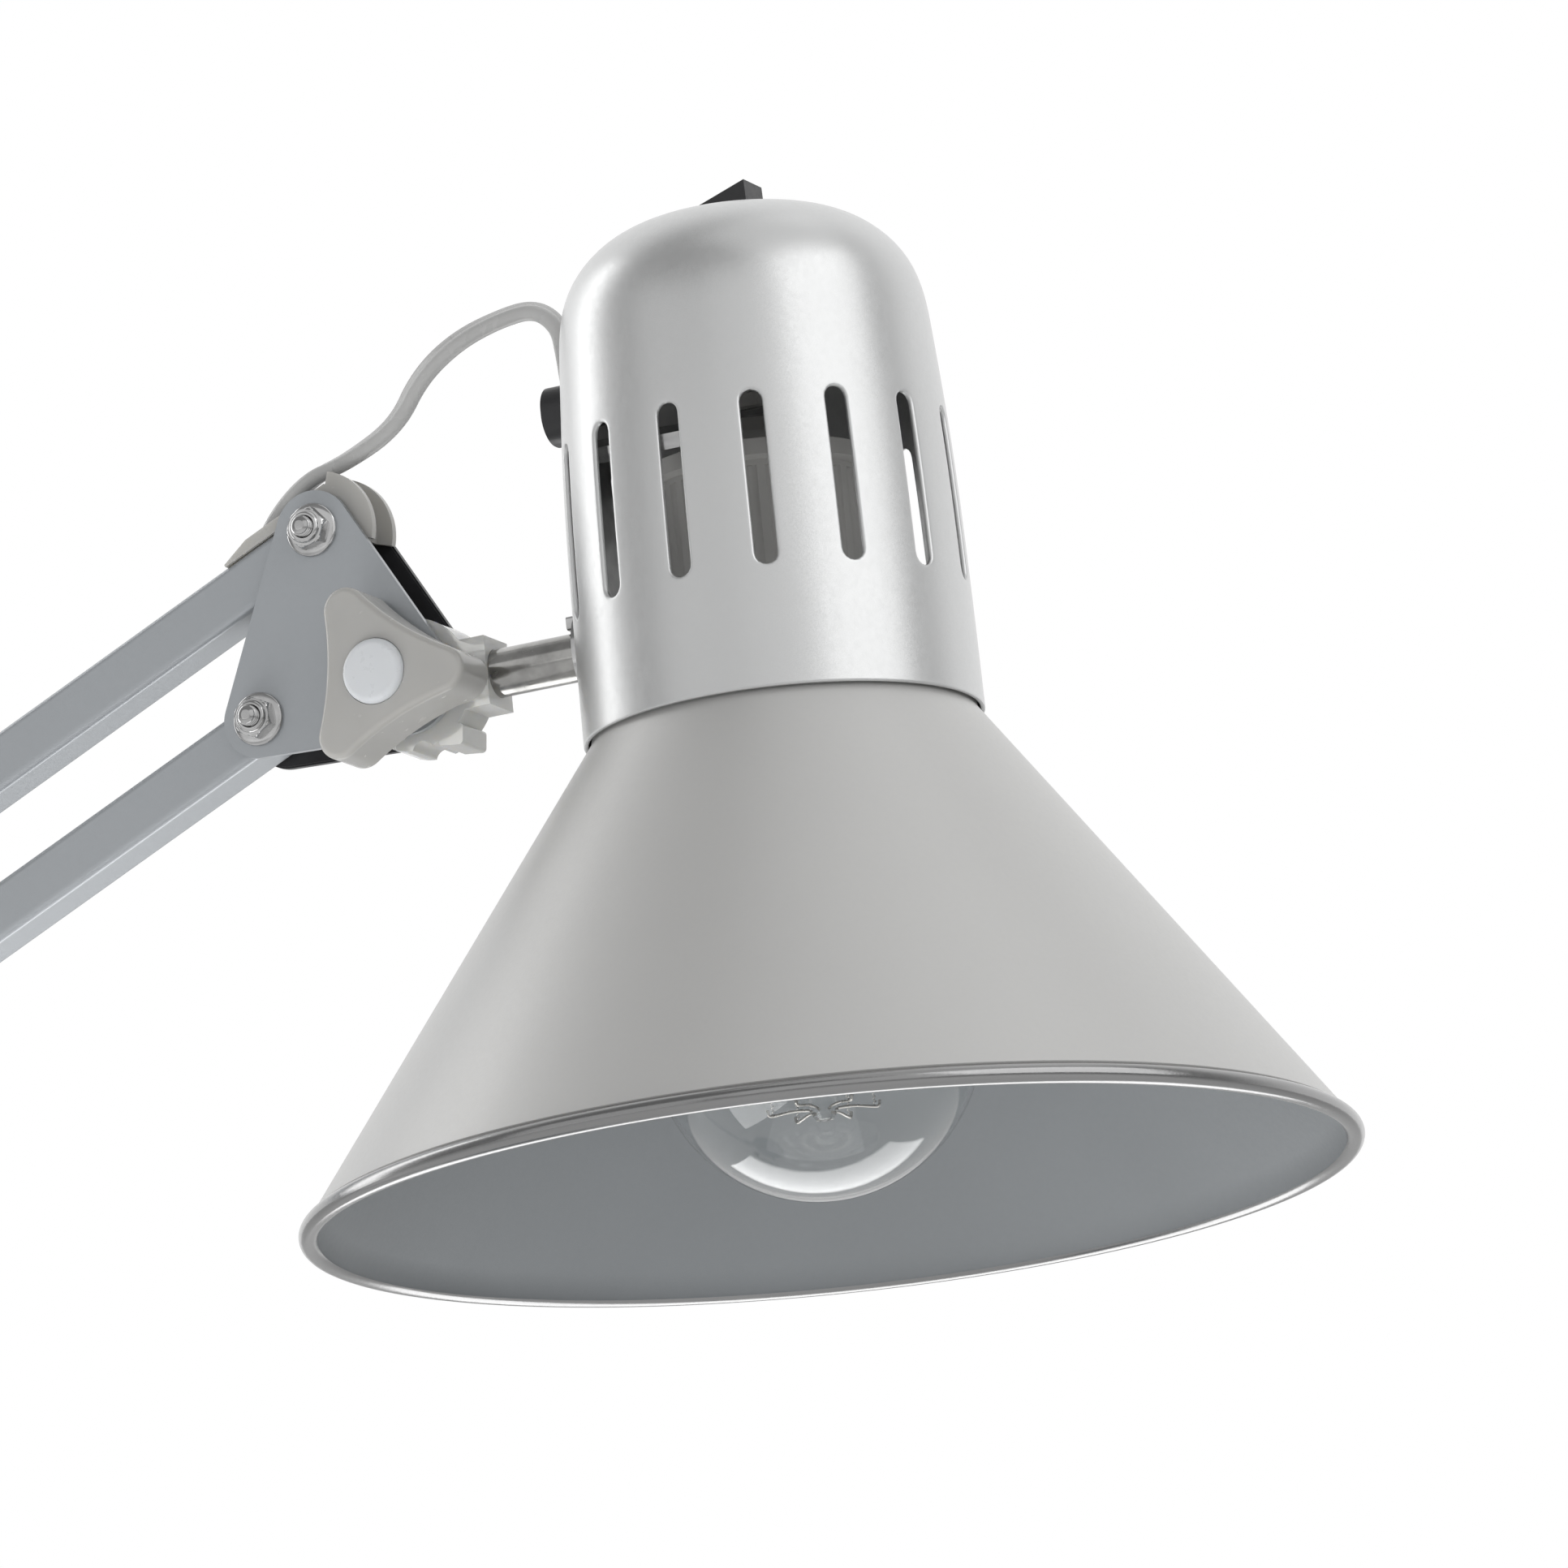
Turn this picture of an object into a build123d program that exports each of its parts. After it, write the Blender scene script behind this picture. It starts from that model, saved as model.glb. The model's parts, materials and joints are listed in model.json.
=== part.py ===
"""Balanced-arm architect desk lamp: weighted base, two sprung parallelogram arms and a vented metal head.

Units are millimetres. The origin is the centre of the base's underside and +Z is up. The arms move in
the XZ plane, the head hangs towards +X, and Y runs across the plates.
"""

from build123d import *
from math import cos, pi, radians, sin, tan
import os

# ---------------------------------------------------------------- driving dimensions
BASE_R = 92.0            # pressed cover of the base
BASE_TOP = 19.0          # top of the cover
POST_TOP = 46.0          # top of the swivel socket
PIVOT_H = 63.0           # height of the lower arm's pivots
LOWER_GAP = 36.0         # between the two lower bars' pivots
LOWER_ANGLE = 115.0      # lower bars' direction in the XZ plane
UPPER_ANGLE = 30.0       # upper bars' direction
ARM_LENGTH = 380.0       # pivot to pivot, all four bars
UPPER_LINK = (10.7, 34.6)   # from a lower pivot of the upper pair to its upper pivot
ELBOW_RISE = (-3.0, 32.0)   # from the middle of the elbow's lower pivots to bar D's pivot
TILT_OFFSET = (30.0, 4.5)   # from bar D's head pivot to the head's tilt bolt
HEAD_LEAN = 6.3          # head axis leans back towards the arms
ROD_REACH = 71.3         # tilt bolt to the head's axis
ROD_HEIGHT = 108.0       # rod above the shade's rim

BAR = 10.0               # square tube
BAR_WALL = 1.0
PLATE_IN = 5.6           # inner face of every side plate, from the arms' plane
PLATE_T = 1.3
PLATE_OUT = PLATE_IN + PLATE_T
LINER_T = 0.5
BOLT_R = 2.0             # M4
BOLT_HOLE_R = BOLT_R + 0.06   # running fit in the bars
CORD_R = 2.2             # plain stand-in for the flat 5.4 x 3.2 mm lead
SPRING_R = 4.5
SPRING_Y = 12.3          # springs run outside the plates

SHADE_R = 96.4           # outer radius of the rolled rim
NECK_R = 35.2            # neck of the shade, inside the cap
CAP_R = 36.6             # lower edge of the cap
CAP_EDGE = 87.0          # height of the cap's lower edge above the rim
CAP_TOP = 183.5
SLOT_COUNT = 14
SLOT_W = 4.2
SLOT_LOW, SLOT_HIGH = 109.6, 142.2
SLOT_TURN = -2.5         # slots are set round from the rod by this much
GROMMET_H = 154.0
BULB_R = 30.0

os.makedirs("parts", exist_ok=True)


# ---------------------------------------------------------------- points and planes
def polar(angle, length):
    """Offset in the arms' plane."""
    return length * cos(radians(angle)), length * sin(radians(angle))


def shift(point, offset):
    return point[0] + offset[0], point[1] + offset[1]


def at(point, y=0.0):
    """Point of the arms' plane as a place in the lamp's frame."""
    return Vector(point[0], y, point[1])


def arm_plane(y=0.0):
    """Plane parallel to the arms; its x and y are the lamp's X and Z, and it faces -Y."""
    return Plane(origin=(0, y, 0), x_dir=(1, 0, 0), z_dir=(0, -1, 0))


base_a = (-LOWER_GAP / 2, PIVOT_H)
base_b = (LOWER_GAP / 2, PIVOT_H)
lower_run = polar(LOWER_ANGLE, ARM_LENGTH)
upper_run = polar(UPPER_ANGLE, ARM_LENGTH)
elbow_a = shift(base_a, lower_run)
elbow_b = shift(base_b, lower_run)
elbow_d = shift(((elbow_a[0] + elbow_b[0]) / 2, elbow_a[1]), ELBOW_RISE)
elbow_c = shift(elbow_d, UPPER_LINK)
head_d = shift(elbow_d, upper_run)
head_c = shift(elbow_c, upper_run)
tilt = shift(head_d, TILT_OFFSET)

base_spring = shift(base_b, (15.0, 6.0))
elbow_spring = shift(elbow_c, (-6.0, 15.0))
SPRING_GRIP = 150.0      # from a bar's pivot to its spring pin
PIN_DROP = 2.3           # upper spring pin sits low in bar C, under the cord
lower_grip = shift(base_b, polar(LOWER_ANGLE, SPRING_GRIP))
upper_grip = shift(shift(elbow_c, polar(UPPER_ANGLE, SPRING_GRIP)), polar(UPPER_ANGLE - 90, PIN_DROP))

out_dir = Vector(cos(radians(HEAD_LEAN)), 0, sin(radians(HEAD_LEAN)))
head_up = Vector(-sin(radians(HEAD_LEAN)), 0, cos(radians(HEAD_LEAN)))
rim = at(tilt) + out_dir * ROD_REACH - head_up * ROD_HEIGHT
head_plane = Plane(origin=rim, x_dir=out_dir, z_dir=head_up)
profile_plane = Plane(origin=rim, x_dir=out_dir, z_dir=(0, -1, 0))
head_axis = Axis(rim, head_up)
rod_plane = Plane(origin=at(tilt), x_dir=(0, 1, 0), z_dir=out_dir)


def finish(part, label):
    """Name a finished piece and write it."""
    part.label = label
    export_step(part, f"parts/{label}.step")


# ---------------------------------------------------------------- repeated pieces
def pins(label, points, radius, y_low, y_high):
    """Round pins across the arms, one solid at each point."""
    with BuildPart() as piece:
        with BuildSketch(arm_plane(y_high)):
            with Locations(*points):
                Circle(radius)
        extrude(amount=y_high - y_low)
    finish(piece.part, label)


def bolt_blanks(points):
    """M4 bolts with hexagon flange heads on the far side."""
    with BuildPart() as blanks:
        with BuildSketch(arm_plane(PLATE_OUT + 1.2)):
            with Locations(*points):
                Circle(5.0)
        extrude(amount=1.2)
        with BuildSketch(arm_plane(PLATE_OUT + 4.2)):
            with Locations(*points):
                RegularPolygon(3.5, 6, major_radius=False)
        extrude(amount=3.0)
        with BuildSketch(arm_plane(PLATE_OUT)):
            with Locations(*points):
                Circle(BOLT_R)
        extrude(amount=2 * PLATE_OUT + 5.8)
    return blanks.part


def nut_blanks(points):
    """M4 flange nuts on the near side, drilled for their bolts."""
    with BuildPart() as blanks:
        with BuildSketch(arm_plane(-PLATE_OUT)):
            with Locations(*points):
                Circle(5.0)
        extrude(amount=1.2)
        with BuildSketch(arm_plane(-PLATE_OUT - 1.2)):
            with Locations(*points):
                RegularPolygon(3.5, 6, major_radius=False)
        extrude(amount=3.3)
        with BuildSketch(arm_plane(-PLATE_OUT)):
            with Locations(*points):
                Circle(BOLT_R)
        extrude(amount=6.0, mode=Mode.SUBTRACT)
    return blanks.part


def bolts(label, points):
    finish(bolt_blanks(points), label)


def flange_nuts(label, points):
    finish(nut_blanks(points), label)


def bolts_and_nuts(label, points):
    """Bolts and their nuts in one node, each a solid of its own."""
    finish(Compound(children=[*bolt_blanks(points).solids(), *nut_blanks(points).solids()]), label)


def side_plate(label, corners, bolt_points, y_low, thickness, holes=BOLT_R):
    """Flat plate whose outline is the hull of round corners, drilled at its bolts."""
    with BuildPart() as piece:
        with BuildSketch(arm_plane(y_low + thickness)):
            for point, radius in corners:
                with Locations(point):
                    Circle(radius)
            make_hull()
            with Locations(*bolt_points):
                Circle(holes, mode=Mode.SUBTRACT)
        extrude(amount=thickness)
    finish(piece.part, label)


def plate_pair(name, corners, bolt_points):
    side_plate(f"{name}_plate_near", corners, bolt_points, -PLATE_OUT, PLATE_T)
    side_plate(f"{name}_plate_far", corners, bolt_points, PLATE_IN, PLATE_T)


def liner_pair(label, corners, bolt_points):
    """Black friction liners inside a pair of plates, one node of two solids."""
    with BuildPart() as piece:
        for y_high in (PLATE_IN, -PLATE_IN + LINER_T):
            with BuildSketch(arm_plane(y_high)):
                for point, radius in corners:
                    with Locations(point):
                        Circle(radius - 0.3)
                make_hull()
                with Locations(*bolt_points):
                    Circle(BOLT_R, mode=Mode.SUBTRACT)
            extrude(amount=LINER_T)
    finish(piece.part, label)


def arm_bar(label, foot, angle, ends, slots=(), cross_hole=None):
    """Square tube drilled at both pivots, with wall slots (distance, side, length) for the cord."""
    along = at(polar(angle, 1.0))
    across = at(polar(angle + 90, 1.0))
    start = at(foot) - along * ends[0]
    with BuildPart() as piece:
        with BuildSketch(Plane(origin=start, x_dir=(0, 1, 0), z_dir=along)):
            RectangleRounded(BAR, BAR, 1.4)
            RectangleRounded(BAR - 2 * BAR_WALL, BAR - 2 * BAR_WALL, 0.6, mode=Mode.SUBTRACT)
        extrude(amount=ARM_LENGTH + ends[0] + ends[1])
        with BuildSketch(arm_plane(BAR)):
            with Locations(foot, shift(foot, polar(angle, ARM_LENGTH))):
                Circle(BOLT_HOLE_R)
        extrude(amount=2 * BAR, mode=Mode.SUBTRACT)
        if cross_hole:
            with BuildSketch(arm_plane(BAR)):
                with Locations(cross_hole):
                    Circle(1.5)
            extrude(amount=2 * BAR, mode=Mode.SUBTRACT)
        for distance, side, length in slots:
            with BuildSketch(Plane(origin=at(foot) + along * distance, x_dir=along, z_dir=across * side)):
                SlotOverall(length, 6.4)
            extrude(amount=BAR, mode=Mode.SUBTRACT)
    finish(piece.part, label)


def spring(label, hook, grip, lead_in, lead_out):
    """Plain solids for a mirrored pair of tension springs: a coil body and its two straight hook wires."""
    line = at(grip) - at(hook)
    with BuildPart() as piece:
        for y in (SPRING_Y, -SPRING_Y):
            for first, last, radius in (
                (2.9, lead_in, 0.8),
                (lead_in, line.length - lead_out, SPRING_R),
                (line.length - lead_out, line.length - 2.0, 0.8),
            ):
                start = at(hook, y) + line.normalized() * first
                with BuildSketch(Plane(origin=start, z_dir=line)):
                    Circle(radius)
                extrude(amount=last - first)
    finish(piece.part, label)


def arc_radii(points):
    """Largest tangent arc at each corner of a cord's route: 0.45 of its shorter run over tan(half turn)."""
    radii = []
    for before, corner, after in zip(points, points[1:], points[2:]):
        run_in = Vector(*corner) - Vector(*before)
        run_out = Vector(*after) - Vector(*corner)
        turn = radians(run_in.get_angle(run_out))
        radii.append(0.45 * min(run_in.length, run_out.length) / tan(turn / 2))
    return radii


def cord(label, points):
    """Round tube along straight runs joined by tangent arcs."""
    radii = arc_radii(points)
    with BuildPart() as piece:
        with BuildLine():
            path = FilletPolyline(*points, radius=radii) if radii else Line(*points)
        with BuildSketch(Plane(origin=path @ 0, z_dir=path % 0)):
            Circle(CORD_R)
        sweep()
    ideal = pi * CORD_R**2 * path.length
    print(
        label, "length", round(path.length, 1), "radii", [round(r, 1) for r in radii],
        "volume ratio", round(piece.part.volume / ideal, 3),
    )
    finish(piece.part, label)


LOBE_R, LOBE_AT, WAIST = 4.3, 13.5, 9.9
HOLLOW_AT = (LOBE_AT**2 - (LOBE_R - WAIST) ** 2) / (LOBE_AT + 2 * (LOBE_R - WAIST))


def three_lobes():
    """Star outline of the clamping knobs: three round lobes and the hollow arcs that touch them."""
    share = LOBE_R / (HOLLOW_AT - WAIST + LOBE_R)

    def touch(lobe_heading, hollow_heading):
        lobe, hollow = polar(lobe_heading, LOBE_AT), polar(hollow_heading, HOLLOW_AT)
        return lobe[0] + share * (hollow[0] - lobe[0]), lobe[1] + share * (hollow[1] - lobe[1])

    for heading in (-2, 118, 238):
        first, last = touch(heading, heading - 60), touch(heading, heading + 60)
        ThreePointArc(first, polar(heading, LOBE_AT + LOBE_R), last)
        ThreePointArc(last, polar(heading + 60, WAIST), touch(heading + 120, heading + 60))


def knob(label, point):
    """Three-lobed clamping knob on the near side, with a round pocket for its cap disc."""
    with BuildPart() as piece:
        with BuildSketch(Plane(origin=at(point, -PLATE_OUT - 0.4), x_dir=(1, 0, 0), z_dir=(0, -1, 0))):
            Circle(8.0)
        extrude(amount=2.0)
        with BuildSketch(Plane(origin=at(point, -PLATE_OUT - 2.4), x_dir=(1, 0, 0), z_dir=(0, -1, 0))):
            with BuildLine():
                three_lobes()
            make_face()
        extrude(amount=11.0)
        front = piece.faces().sort_by(Axis.Y)[0]
        fillet(front.edges(), 1.2)
        with BuildSketch(Plane(origin=at(point, -PLATE_OUT - 13.4), x_dir=(1, 0, 0), z_dir=(0, 1, 0))):
            Circle(6.2)
        extrude(amount=2.0, mode=Mode.SUBTRACT)
        with BuildSketch(Plane(origin=at(point, -PLATE_OUT), x_dir=(1, 0, 0), z_dir=(0, -1, 0))):
            Circle(2.5)
        extrude(amount=9.0, mode=Mode.SUBTRACT)
    finish(piece.part, label)


def knob_cap(label, point):
    """Domed disc that closes a knob's pocket."""
    with BuildPart() as piece:
        with BuildSketch(Plane(origin=at(point, -PLATE_OUT - 11.4), x_dir=(1, 0, 0), z_dir=(0, -1, 0))):
            Circle(6.1)
        extrude(amount=3.2)
        fillet(piece.faces().sort_by(Axis.Y)[0].edges(), 1.3)
    finish(piece.part, label)


# ---------------------------------------------------------------- base
with BuildPart() as base_pad:
    with BuildSketch():
        Circle(BASE_R - 4)
    extrude(amount=2.0)
finish(base_pad.part, "base_pad")

CHANNEL_W, CHANNEL_TOP = 7.0, 8.0
with BuildPart() as base_weight:
    with BuildSketch(Plane.XY.offset(2.0)):
        Circle(BASE_R - 5)
    extrude(amount=BASE_TOP - 3.0)
    fillet(base_weight.edges().group_by(Axis.Z)[-1], 9.0)
    with BuildSketch(Plane.XY.offset(2.0)):
        Circle(8.0)
        with PolarLocations(16.5, 3, start_angle=60):
            Circle(1.7)
    extrude(amount=BASE_TOP, mode=Mode.SUBTRACT)
    with BuildSketch(Plane.XY.offset(2.0)):
        with Locations((0, BASE_R / 2)):
            Rectangle(CHANNEL_W, BASE_R)
    extrude(amount=CHANNEL_TOP - 2.0, mode=Mode.SUBTRACT)
finish(base_weight.part, "base_weight")

with BuildPart() as base_cover:
    with BuildSketch(Plane.XZ):
        with BuildLine():
            Polyline((8, BASE_TOP), (BASE_R - 11, BASE_TOP))
            RadiusArc((BASE_R - 11, BASE_TOP), (BASE_R - 1, BASE_TOP - 10), 10)
            Polyline(
                (BASE_R - 1, BASE_TOP - 10), (BASE_R - 1, 2), (BASE_R, 1.6), (BASE_R - 0.3, 0.8),
                (BASE_R - 2, 0.8), (BASE_R - 2, BASE_TOP - 10),
            )
            RadiusArc((BASE_R - 2, BASE_TOP - 10), (BASE_R - 11, BASE_TOP - 1), -9)
            Polyline((BASE_R - 11, BASE_TOP - 1), (8, BASE_TOP - 1), (8, BASE_TOP))
        make_face()
    revolve(axis=Axis.Z)
    with BuildSketch(Plane.XY.offset(BASE_TOP - 1)):
        with PolarLocations(16.5, 3, start_angle=60):
            Circle(1.7)
    extrude(amount=1.0, mode=Mode.SUBTRACT)
    with BuildSketch(Plane.XZ.offset(-BASE_R + 8)):
        with Locations((0, 5.0)):
            Circle(3.6)
    extrude(amount=-10, mode=Mode.SUBTRACT)
finish(base_cover.part, "base_cover")

with BuildPart() as base_socket:
    with BuildSketch(Plane.XY.offset(BASE_TOP)):
        Circle(21)
    extrude(amount=3.0)
    with BuildSketch(Plane.XY.offset(BASE_TOP + 3)):
        Circle(12)
    extrude(amount=POST_TOP - BASE_TOP - 3, taper=2.0)
    fillet(base_socket.edges().filter_by(GeomType.CIRCLE).group_by(Axis.Z)[2], 2.0)
    with BuildSketch(Plane.XY.offset(9.0)):
        Circle(7.9)
    extrude(amount=BASE_TOP - 9.0)
    with BuildSketch(Plane.XY.offset(9.0)):
        Circle(7.0)
    extrude(amount=POST_TOP, mode=Mode.SUBTRACT)
    with BuildSketch(Plane.XY.offset(BASE_TOP)):
        with PolarLocations(16.5, 3, start_angle=60):
            Circle(1.7)
    extrude(amount=3.0, mode=Mode.SUBTRACT)
finish(base_socket.part, "base_socket")

with BuildPart() as socket_bush:
    with BuildSketch(Plane.XY.offset(9.0)):
        Circle(7.0)
    extrude(amount=POST_TOP - 9.0)
    with BuildSketch(Plane.XY.offset(POST_TOP)):
        Circle(9.5)
    extrude(amount=1.0)
    with BuildSketch(Plane.XY.offset(9.0)):
        Circle(6.05)
    extrude(amount=POST_TOP, mode=Mode.SUBTRACT)
finish(socket_bush.part, "socket_bush")

with BuildPart() as base_screws:
    with BuildSketch(Plane.XY.offset(BASE_TOP - 9)):
        with PolarLocations(16.5, 3, start_angle=60):
            Circle(1.7)
    extrude(amount=12.0)
    with BuildSketch(Plane.XY.offset(BASE_TOP + 3)):
        with PolarLocations(16.5, 3, start_angle=60):
            Circle(3.2)
    extrude(amount=1.8)
    fillet(base_screws.edges().group_by(Axis.Z)[-1], 0.9)
finish(base_screws.part, "base_screws")

with BuildPart() as strain_relief:
    with BuildSketch(Plane(origin=(0, BASE_R - 3, 5.0), x_dir=(1, 0, 0), z_dir=(0, 1, 0))):
        Circle(3.5)
    with BuildSketch(Plane(origin=(0, BASE_R + 24, 5.0), x_dir=(1, 0, 0), z_dir=(0, 1, 0))):
        Circle(2.9)
    loft()
    with BuildSketch(Plane(origin=(0, BASE_R, 5.0), x_dir=(1, 0, 0), z_dir=(0, 1, 0))):
        Circle(4.4)
    extrude(amount=2.5)
    with BuildSketch(Plane(origin=(0, BASE_R - 5, 5.0), x_dir=(1, 0, 0), z_dir=(0, 1, 0))):
        Circle(CORD_R)
    extrude(amount=40, mode=Mode.SUBTRACT)
finish(strain_relief.part, "strain_relief")

# ---------------------------------------------------------------- swivelling yoke
with BuildPart() as swivel_pin:
    with BuildSketch(Plane.XY.offset(10.0)):
        Circle(6.0)
    extrude(amount=POST_TOP + 4 - 10)
    with BuildSketch(Plane.XY.offset(POST_TOP + 1.3)):
        Circle(9.0)
    extrude(amount=2.7)
    with BuildSketch(Plane.XY.offset(10.0)):
        Circle(3.7)
    extrude(amount=POST_TOP, mode=Mode.SUBTRACT)
finish(swivel_pin.part, "swivel_pin")

YOKE_FLOOR = POST_TOP + 4
yoke_corners = [
    (base_a, 8.0), (base_b, 8.0), (base_spring, 6.5), ((-20, YOKE_FLOOR + 6), 6.0), ((26, YOKE_FLOOR + 6), 6.0),
]
with BuildPart() as base_yoke:
    for face in (PLATE_OUT, -PLATE_IN):
        with BuildSketch(arm_plane(face)):
            for point, radius in yoke_corners:
                with Locations(point):
                    Circle(radius)
            make_hull()
            with Locations(base_a, base_b):
                Circle(BOLT_R, mode=Mode.SUBTRACT)
        extrude(amount=PLATE_T)
    with BuildSketch(Plane.XY.offset(YOKE_FLOOR)):
        with Locations((3, 0)):
            Rectangle(46, 2 * PLATE_OUT)
        Circle(3.7, mode=Mode.SUBTRACT)
    extrude(amount=1.5)
finish(base_yoke.part, "base_yoke")

bolts_and_nuts("base_fasteners", [base_a, base_b])

# ---------------------------------------------------------------- elbow
CLIP = shift(elbow_a, (0.0, 34.0))
elbow_corners = [
    (elbow_a, 8.0), (elbow_b, 8.0), (elbow_c, 8.0), (elbow_spring, 6.0), (elbow_d, 8.0), (CLIP, 6.5),
]
elbow_pivots = [elbow_a, elbow_b, elbow_c, elbow_d]
plate_pair("elbow", elbow_corners, elbow_pivots)
bolts_and_nuts("elbow_fasteners", elbow_pivots)

with BuildPart() as elbow_clip:
    with BuildSketch(arm_plane(PLATE_IN)):
        with Locations(CLIP):
            RectangleRounded(9.0, 11.0, 2.0)
    extrude(amount=2 * PLATE_IN)
    with BuildSketch(Plane(origin=at(CLIP) + Vector(0, 0, -10), x_dir=(1, 0, 0), z_dir=(0, 0, 1))):
        RectangleRounded(4.6, 6.4, 1.0)
    extrude(amount=20, mode=Mode.SUBTRACT)
finish(elbow_clip.part, "elbow_clip")

# spring posts: turned studs riveted to the outside of the plates
for name, point in (("base_spring_posts", base_spring), ("elbow_spring_posts", elbow_spring)):
    with BuildPart() as posts:
        for y_high in (PLATE_OUT + 9.0, -PLATE_OUT):
            with BuildSketch(arm_plane(y_high)):
                with Locations(point):
                    Circle(2.5)
            extrude(amount=9.0)
        for y_high in (PLATE_OUT + 10.2, -PLATE_OUT - 9.0):
            with BuildSketch(arm_plane(y_high)):
                with Locations(point):
                    Circle(3.6)
            extrude(amount=1.2)
    finish(posts.part, name)

pins("lower_spring_pin", [lower_grip], 1.5, -PLATE_OUT - 9.5, PLATE_OUT + 9.5)
pins("upper_spring_pin", [upper_grip], 1.5, -PLATE_OUT - 9.5, PLATE_OUT + 9.5)
spring("lower_springs", base_spring, lower_grip, 26.0, 20.0)
spring("upper_springs", elbow_spring, upper_grip, 34.0, 20.0)

# ---------------------------------------------------------------- arm bars
BAR_END = 6.5
HEAD_END = 5.0
CORD_SLOT = 24.0         # cord slots' distance from the pivots
arm_bar("lower_bar_a", base_a, LOWER_ANGLE, (BAR_END, BAR_END),
        [(CORD_SLOT + 4, -1, 18), (ARM_LENGTH - CORD_SLOT, 1, 18)])
arm_bar("lower_bar_b", base_b, LOWER_ANGLE, (BAR_END, BAR_END), cross_hole=lower_grip)
arm_bar("upper_bar_c", elbow_c, UPPER_ANGLE, (BAR_END, HEAD_END),
        [(CORD_SLOT, 1, 18), (ARM_LENGTH - 15, 1, 16)], cross_hole=upper_grip)
arm_bar("upper_bar_d", elbow_d, UPPER_ANGLE, (BAR_END, BAR_END))

# ---------------------------------------------------------------- head bracket
head_corners = [(head_c, 7.5), (head_d, 7.2), (tilt, 9.6)]
plate_pair("head", head_corners, [head_c, head_d, tilt])
liner_pair("head_liners", head_corners, [head_c, head_d, tilt])
bolts("head_bolts", [head_c, head_d])
flange_nuts("head_nuts", [head_c, head_d])

GUIDE_R = 11.4
HUB_R = 8.2
guide_start, guide_stop = -10.0, 80.0
bar_along = at(polar(UPPER_ANGLE, 1.0))
bar_across = at(polar(UPPER_ANGLE + 90, 1.0))


def guide_sector(outer):
    """Crescent round bar C's head pivot, from the bar's top round its end."""
    Circle(outer)
    Circle(HUB_R - 1.0, mode=Mode.SUBTRACT)
    Polygon(
        (0, 0), polar(guide_stop, 30), polar(guide_stop + 45, 60), polar(guide_start - 75, 60),
        polar(guide_start, 30), align=None, mode=Mode.SUBTRACT,
    )


with BuildPart() as cable_guide:
    for y_high, thickness, outer in ((4.95, 1.5, GUIDE_R), (3.45, 6.9, HUB_R), (-3.45, 1.5, GUIDE_R)):
        with BuildSketch(Plane(origin=at(head_c, y_high), x_dir=(1, 0, 0), z_dir=(0, -1, 0))):
            guide_sector(outer)
        extrude(amount=thickness)
    for y_high, thickness, reach in ((4.95, 1.5, 5.6), (-3.45, 1.5, 5.6), (4.95, 9.9, -16.5)):
        with BuildSketch(Plane(origin=at(head_c, y_high), x_dir=bar_along, z_dir=(0, -1, 0))):
            if reach > 0:
                Polygon((-18.9, 5.05), (-18.9, 5.5), (-13.0, 7.15), (reach, 7.15), (reach, 5.05), align=None)
            else:
                Polygon((-18.9, 5.05), (-18.9, 5.5), (reach, 6.17), (reach, 5.05), align=None)
        extrude(amount=thickness)
finish(cable_guide.part, "cable_guide")

# tilt block: moulded clamp on the tilt bolt that grips the head's rod
BLOCK_R = 12.4
NOSE_END = 15.6
NECK_ROD_R = 4.5
with BuildPart() as tilt_block:
    with BuildSketch(arm_plane(5.0)):
        with Locations(tilt):
            Circle(BLOCK_R)
    extrude(amount=10.0)
    with BuildSketch(rod_plane.offset(2.0)):
        Rectangle(10.0, 13.0)
    extrude(amount=NOSE_END - 2.0)
    with BuildSketch(arm_plane(5.0)):
        with Locations(shift(tilt, polar(-50, BLOCK_R + 0.4))):
            RectangleRounded(5.0, 4.0, 0.8)
    extrude(amount=10.0)
    with BuildSketch(rod_plane.offset(9.0)):
        Circle(NECK_ROD_R + 0.05)
    extrude(amount=NOSE_END, mode=Mode.SUBTRACT)
    with BuildSketch(arm_plane(6.0)):
        with Locations(tilt):
            Circle(BOLT_HOLE_R)
        for turn in (-112, -78):
            with Locations(shift(tilt, polar(turn, BLOCK_R + 0.6))):
                Circle(2.1)
    extrude(amount=12.0, mode=Mode.SUBTRACT)
finish(tilt_block.part, "tilt_block")

with BuildPart() as tilt_bolt:
    with BuildSketch(arm_plane(PLATE_OUT + 4.2)):
        with Locations(tilt):
            RegularPolygon(4.6, 6, major_radius=False)
    extrude(amount=4.2)
    with BuildSketch(arm_plane(PLATE_OUT)):
        with Locations(tilt):
            Circle(BOLT_R)
    extrude(amount=2 * PLATE_OUT + 8.0)
finish(tilt_bolt.part, "tilt_bolt")
knob("tilt_knob", tilt)
knob_cap("tilt_knob_cap", tilt)

# ---------------------------------------------------------------- rod through the cap's wall
CAP_WALL_AT = ROD_REACH - 36.2
with BuildPart() as neck_rod:
    with BuildSketch(rod_plane.offset(9.5)):
        Circle(NECK_ROD_R)
    extrude(amount=CAP_WALL_AT - 1.8 - 9.5)
    with BuildSketch(rod_plane.offset(CAP_WALL_AT - 1.8)):
        Circle(2.95)
    extrude(amount=11.5)
finish(neck_rod.part, "neck_rod")

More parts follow.
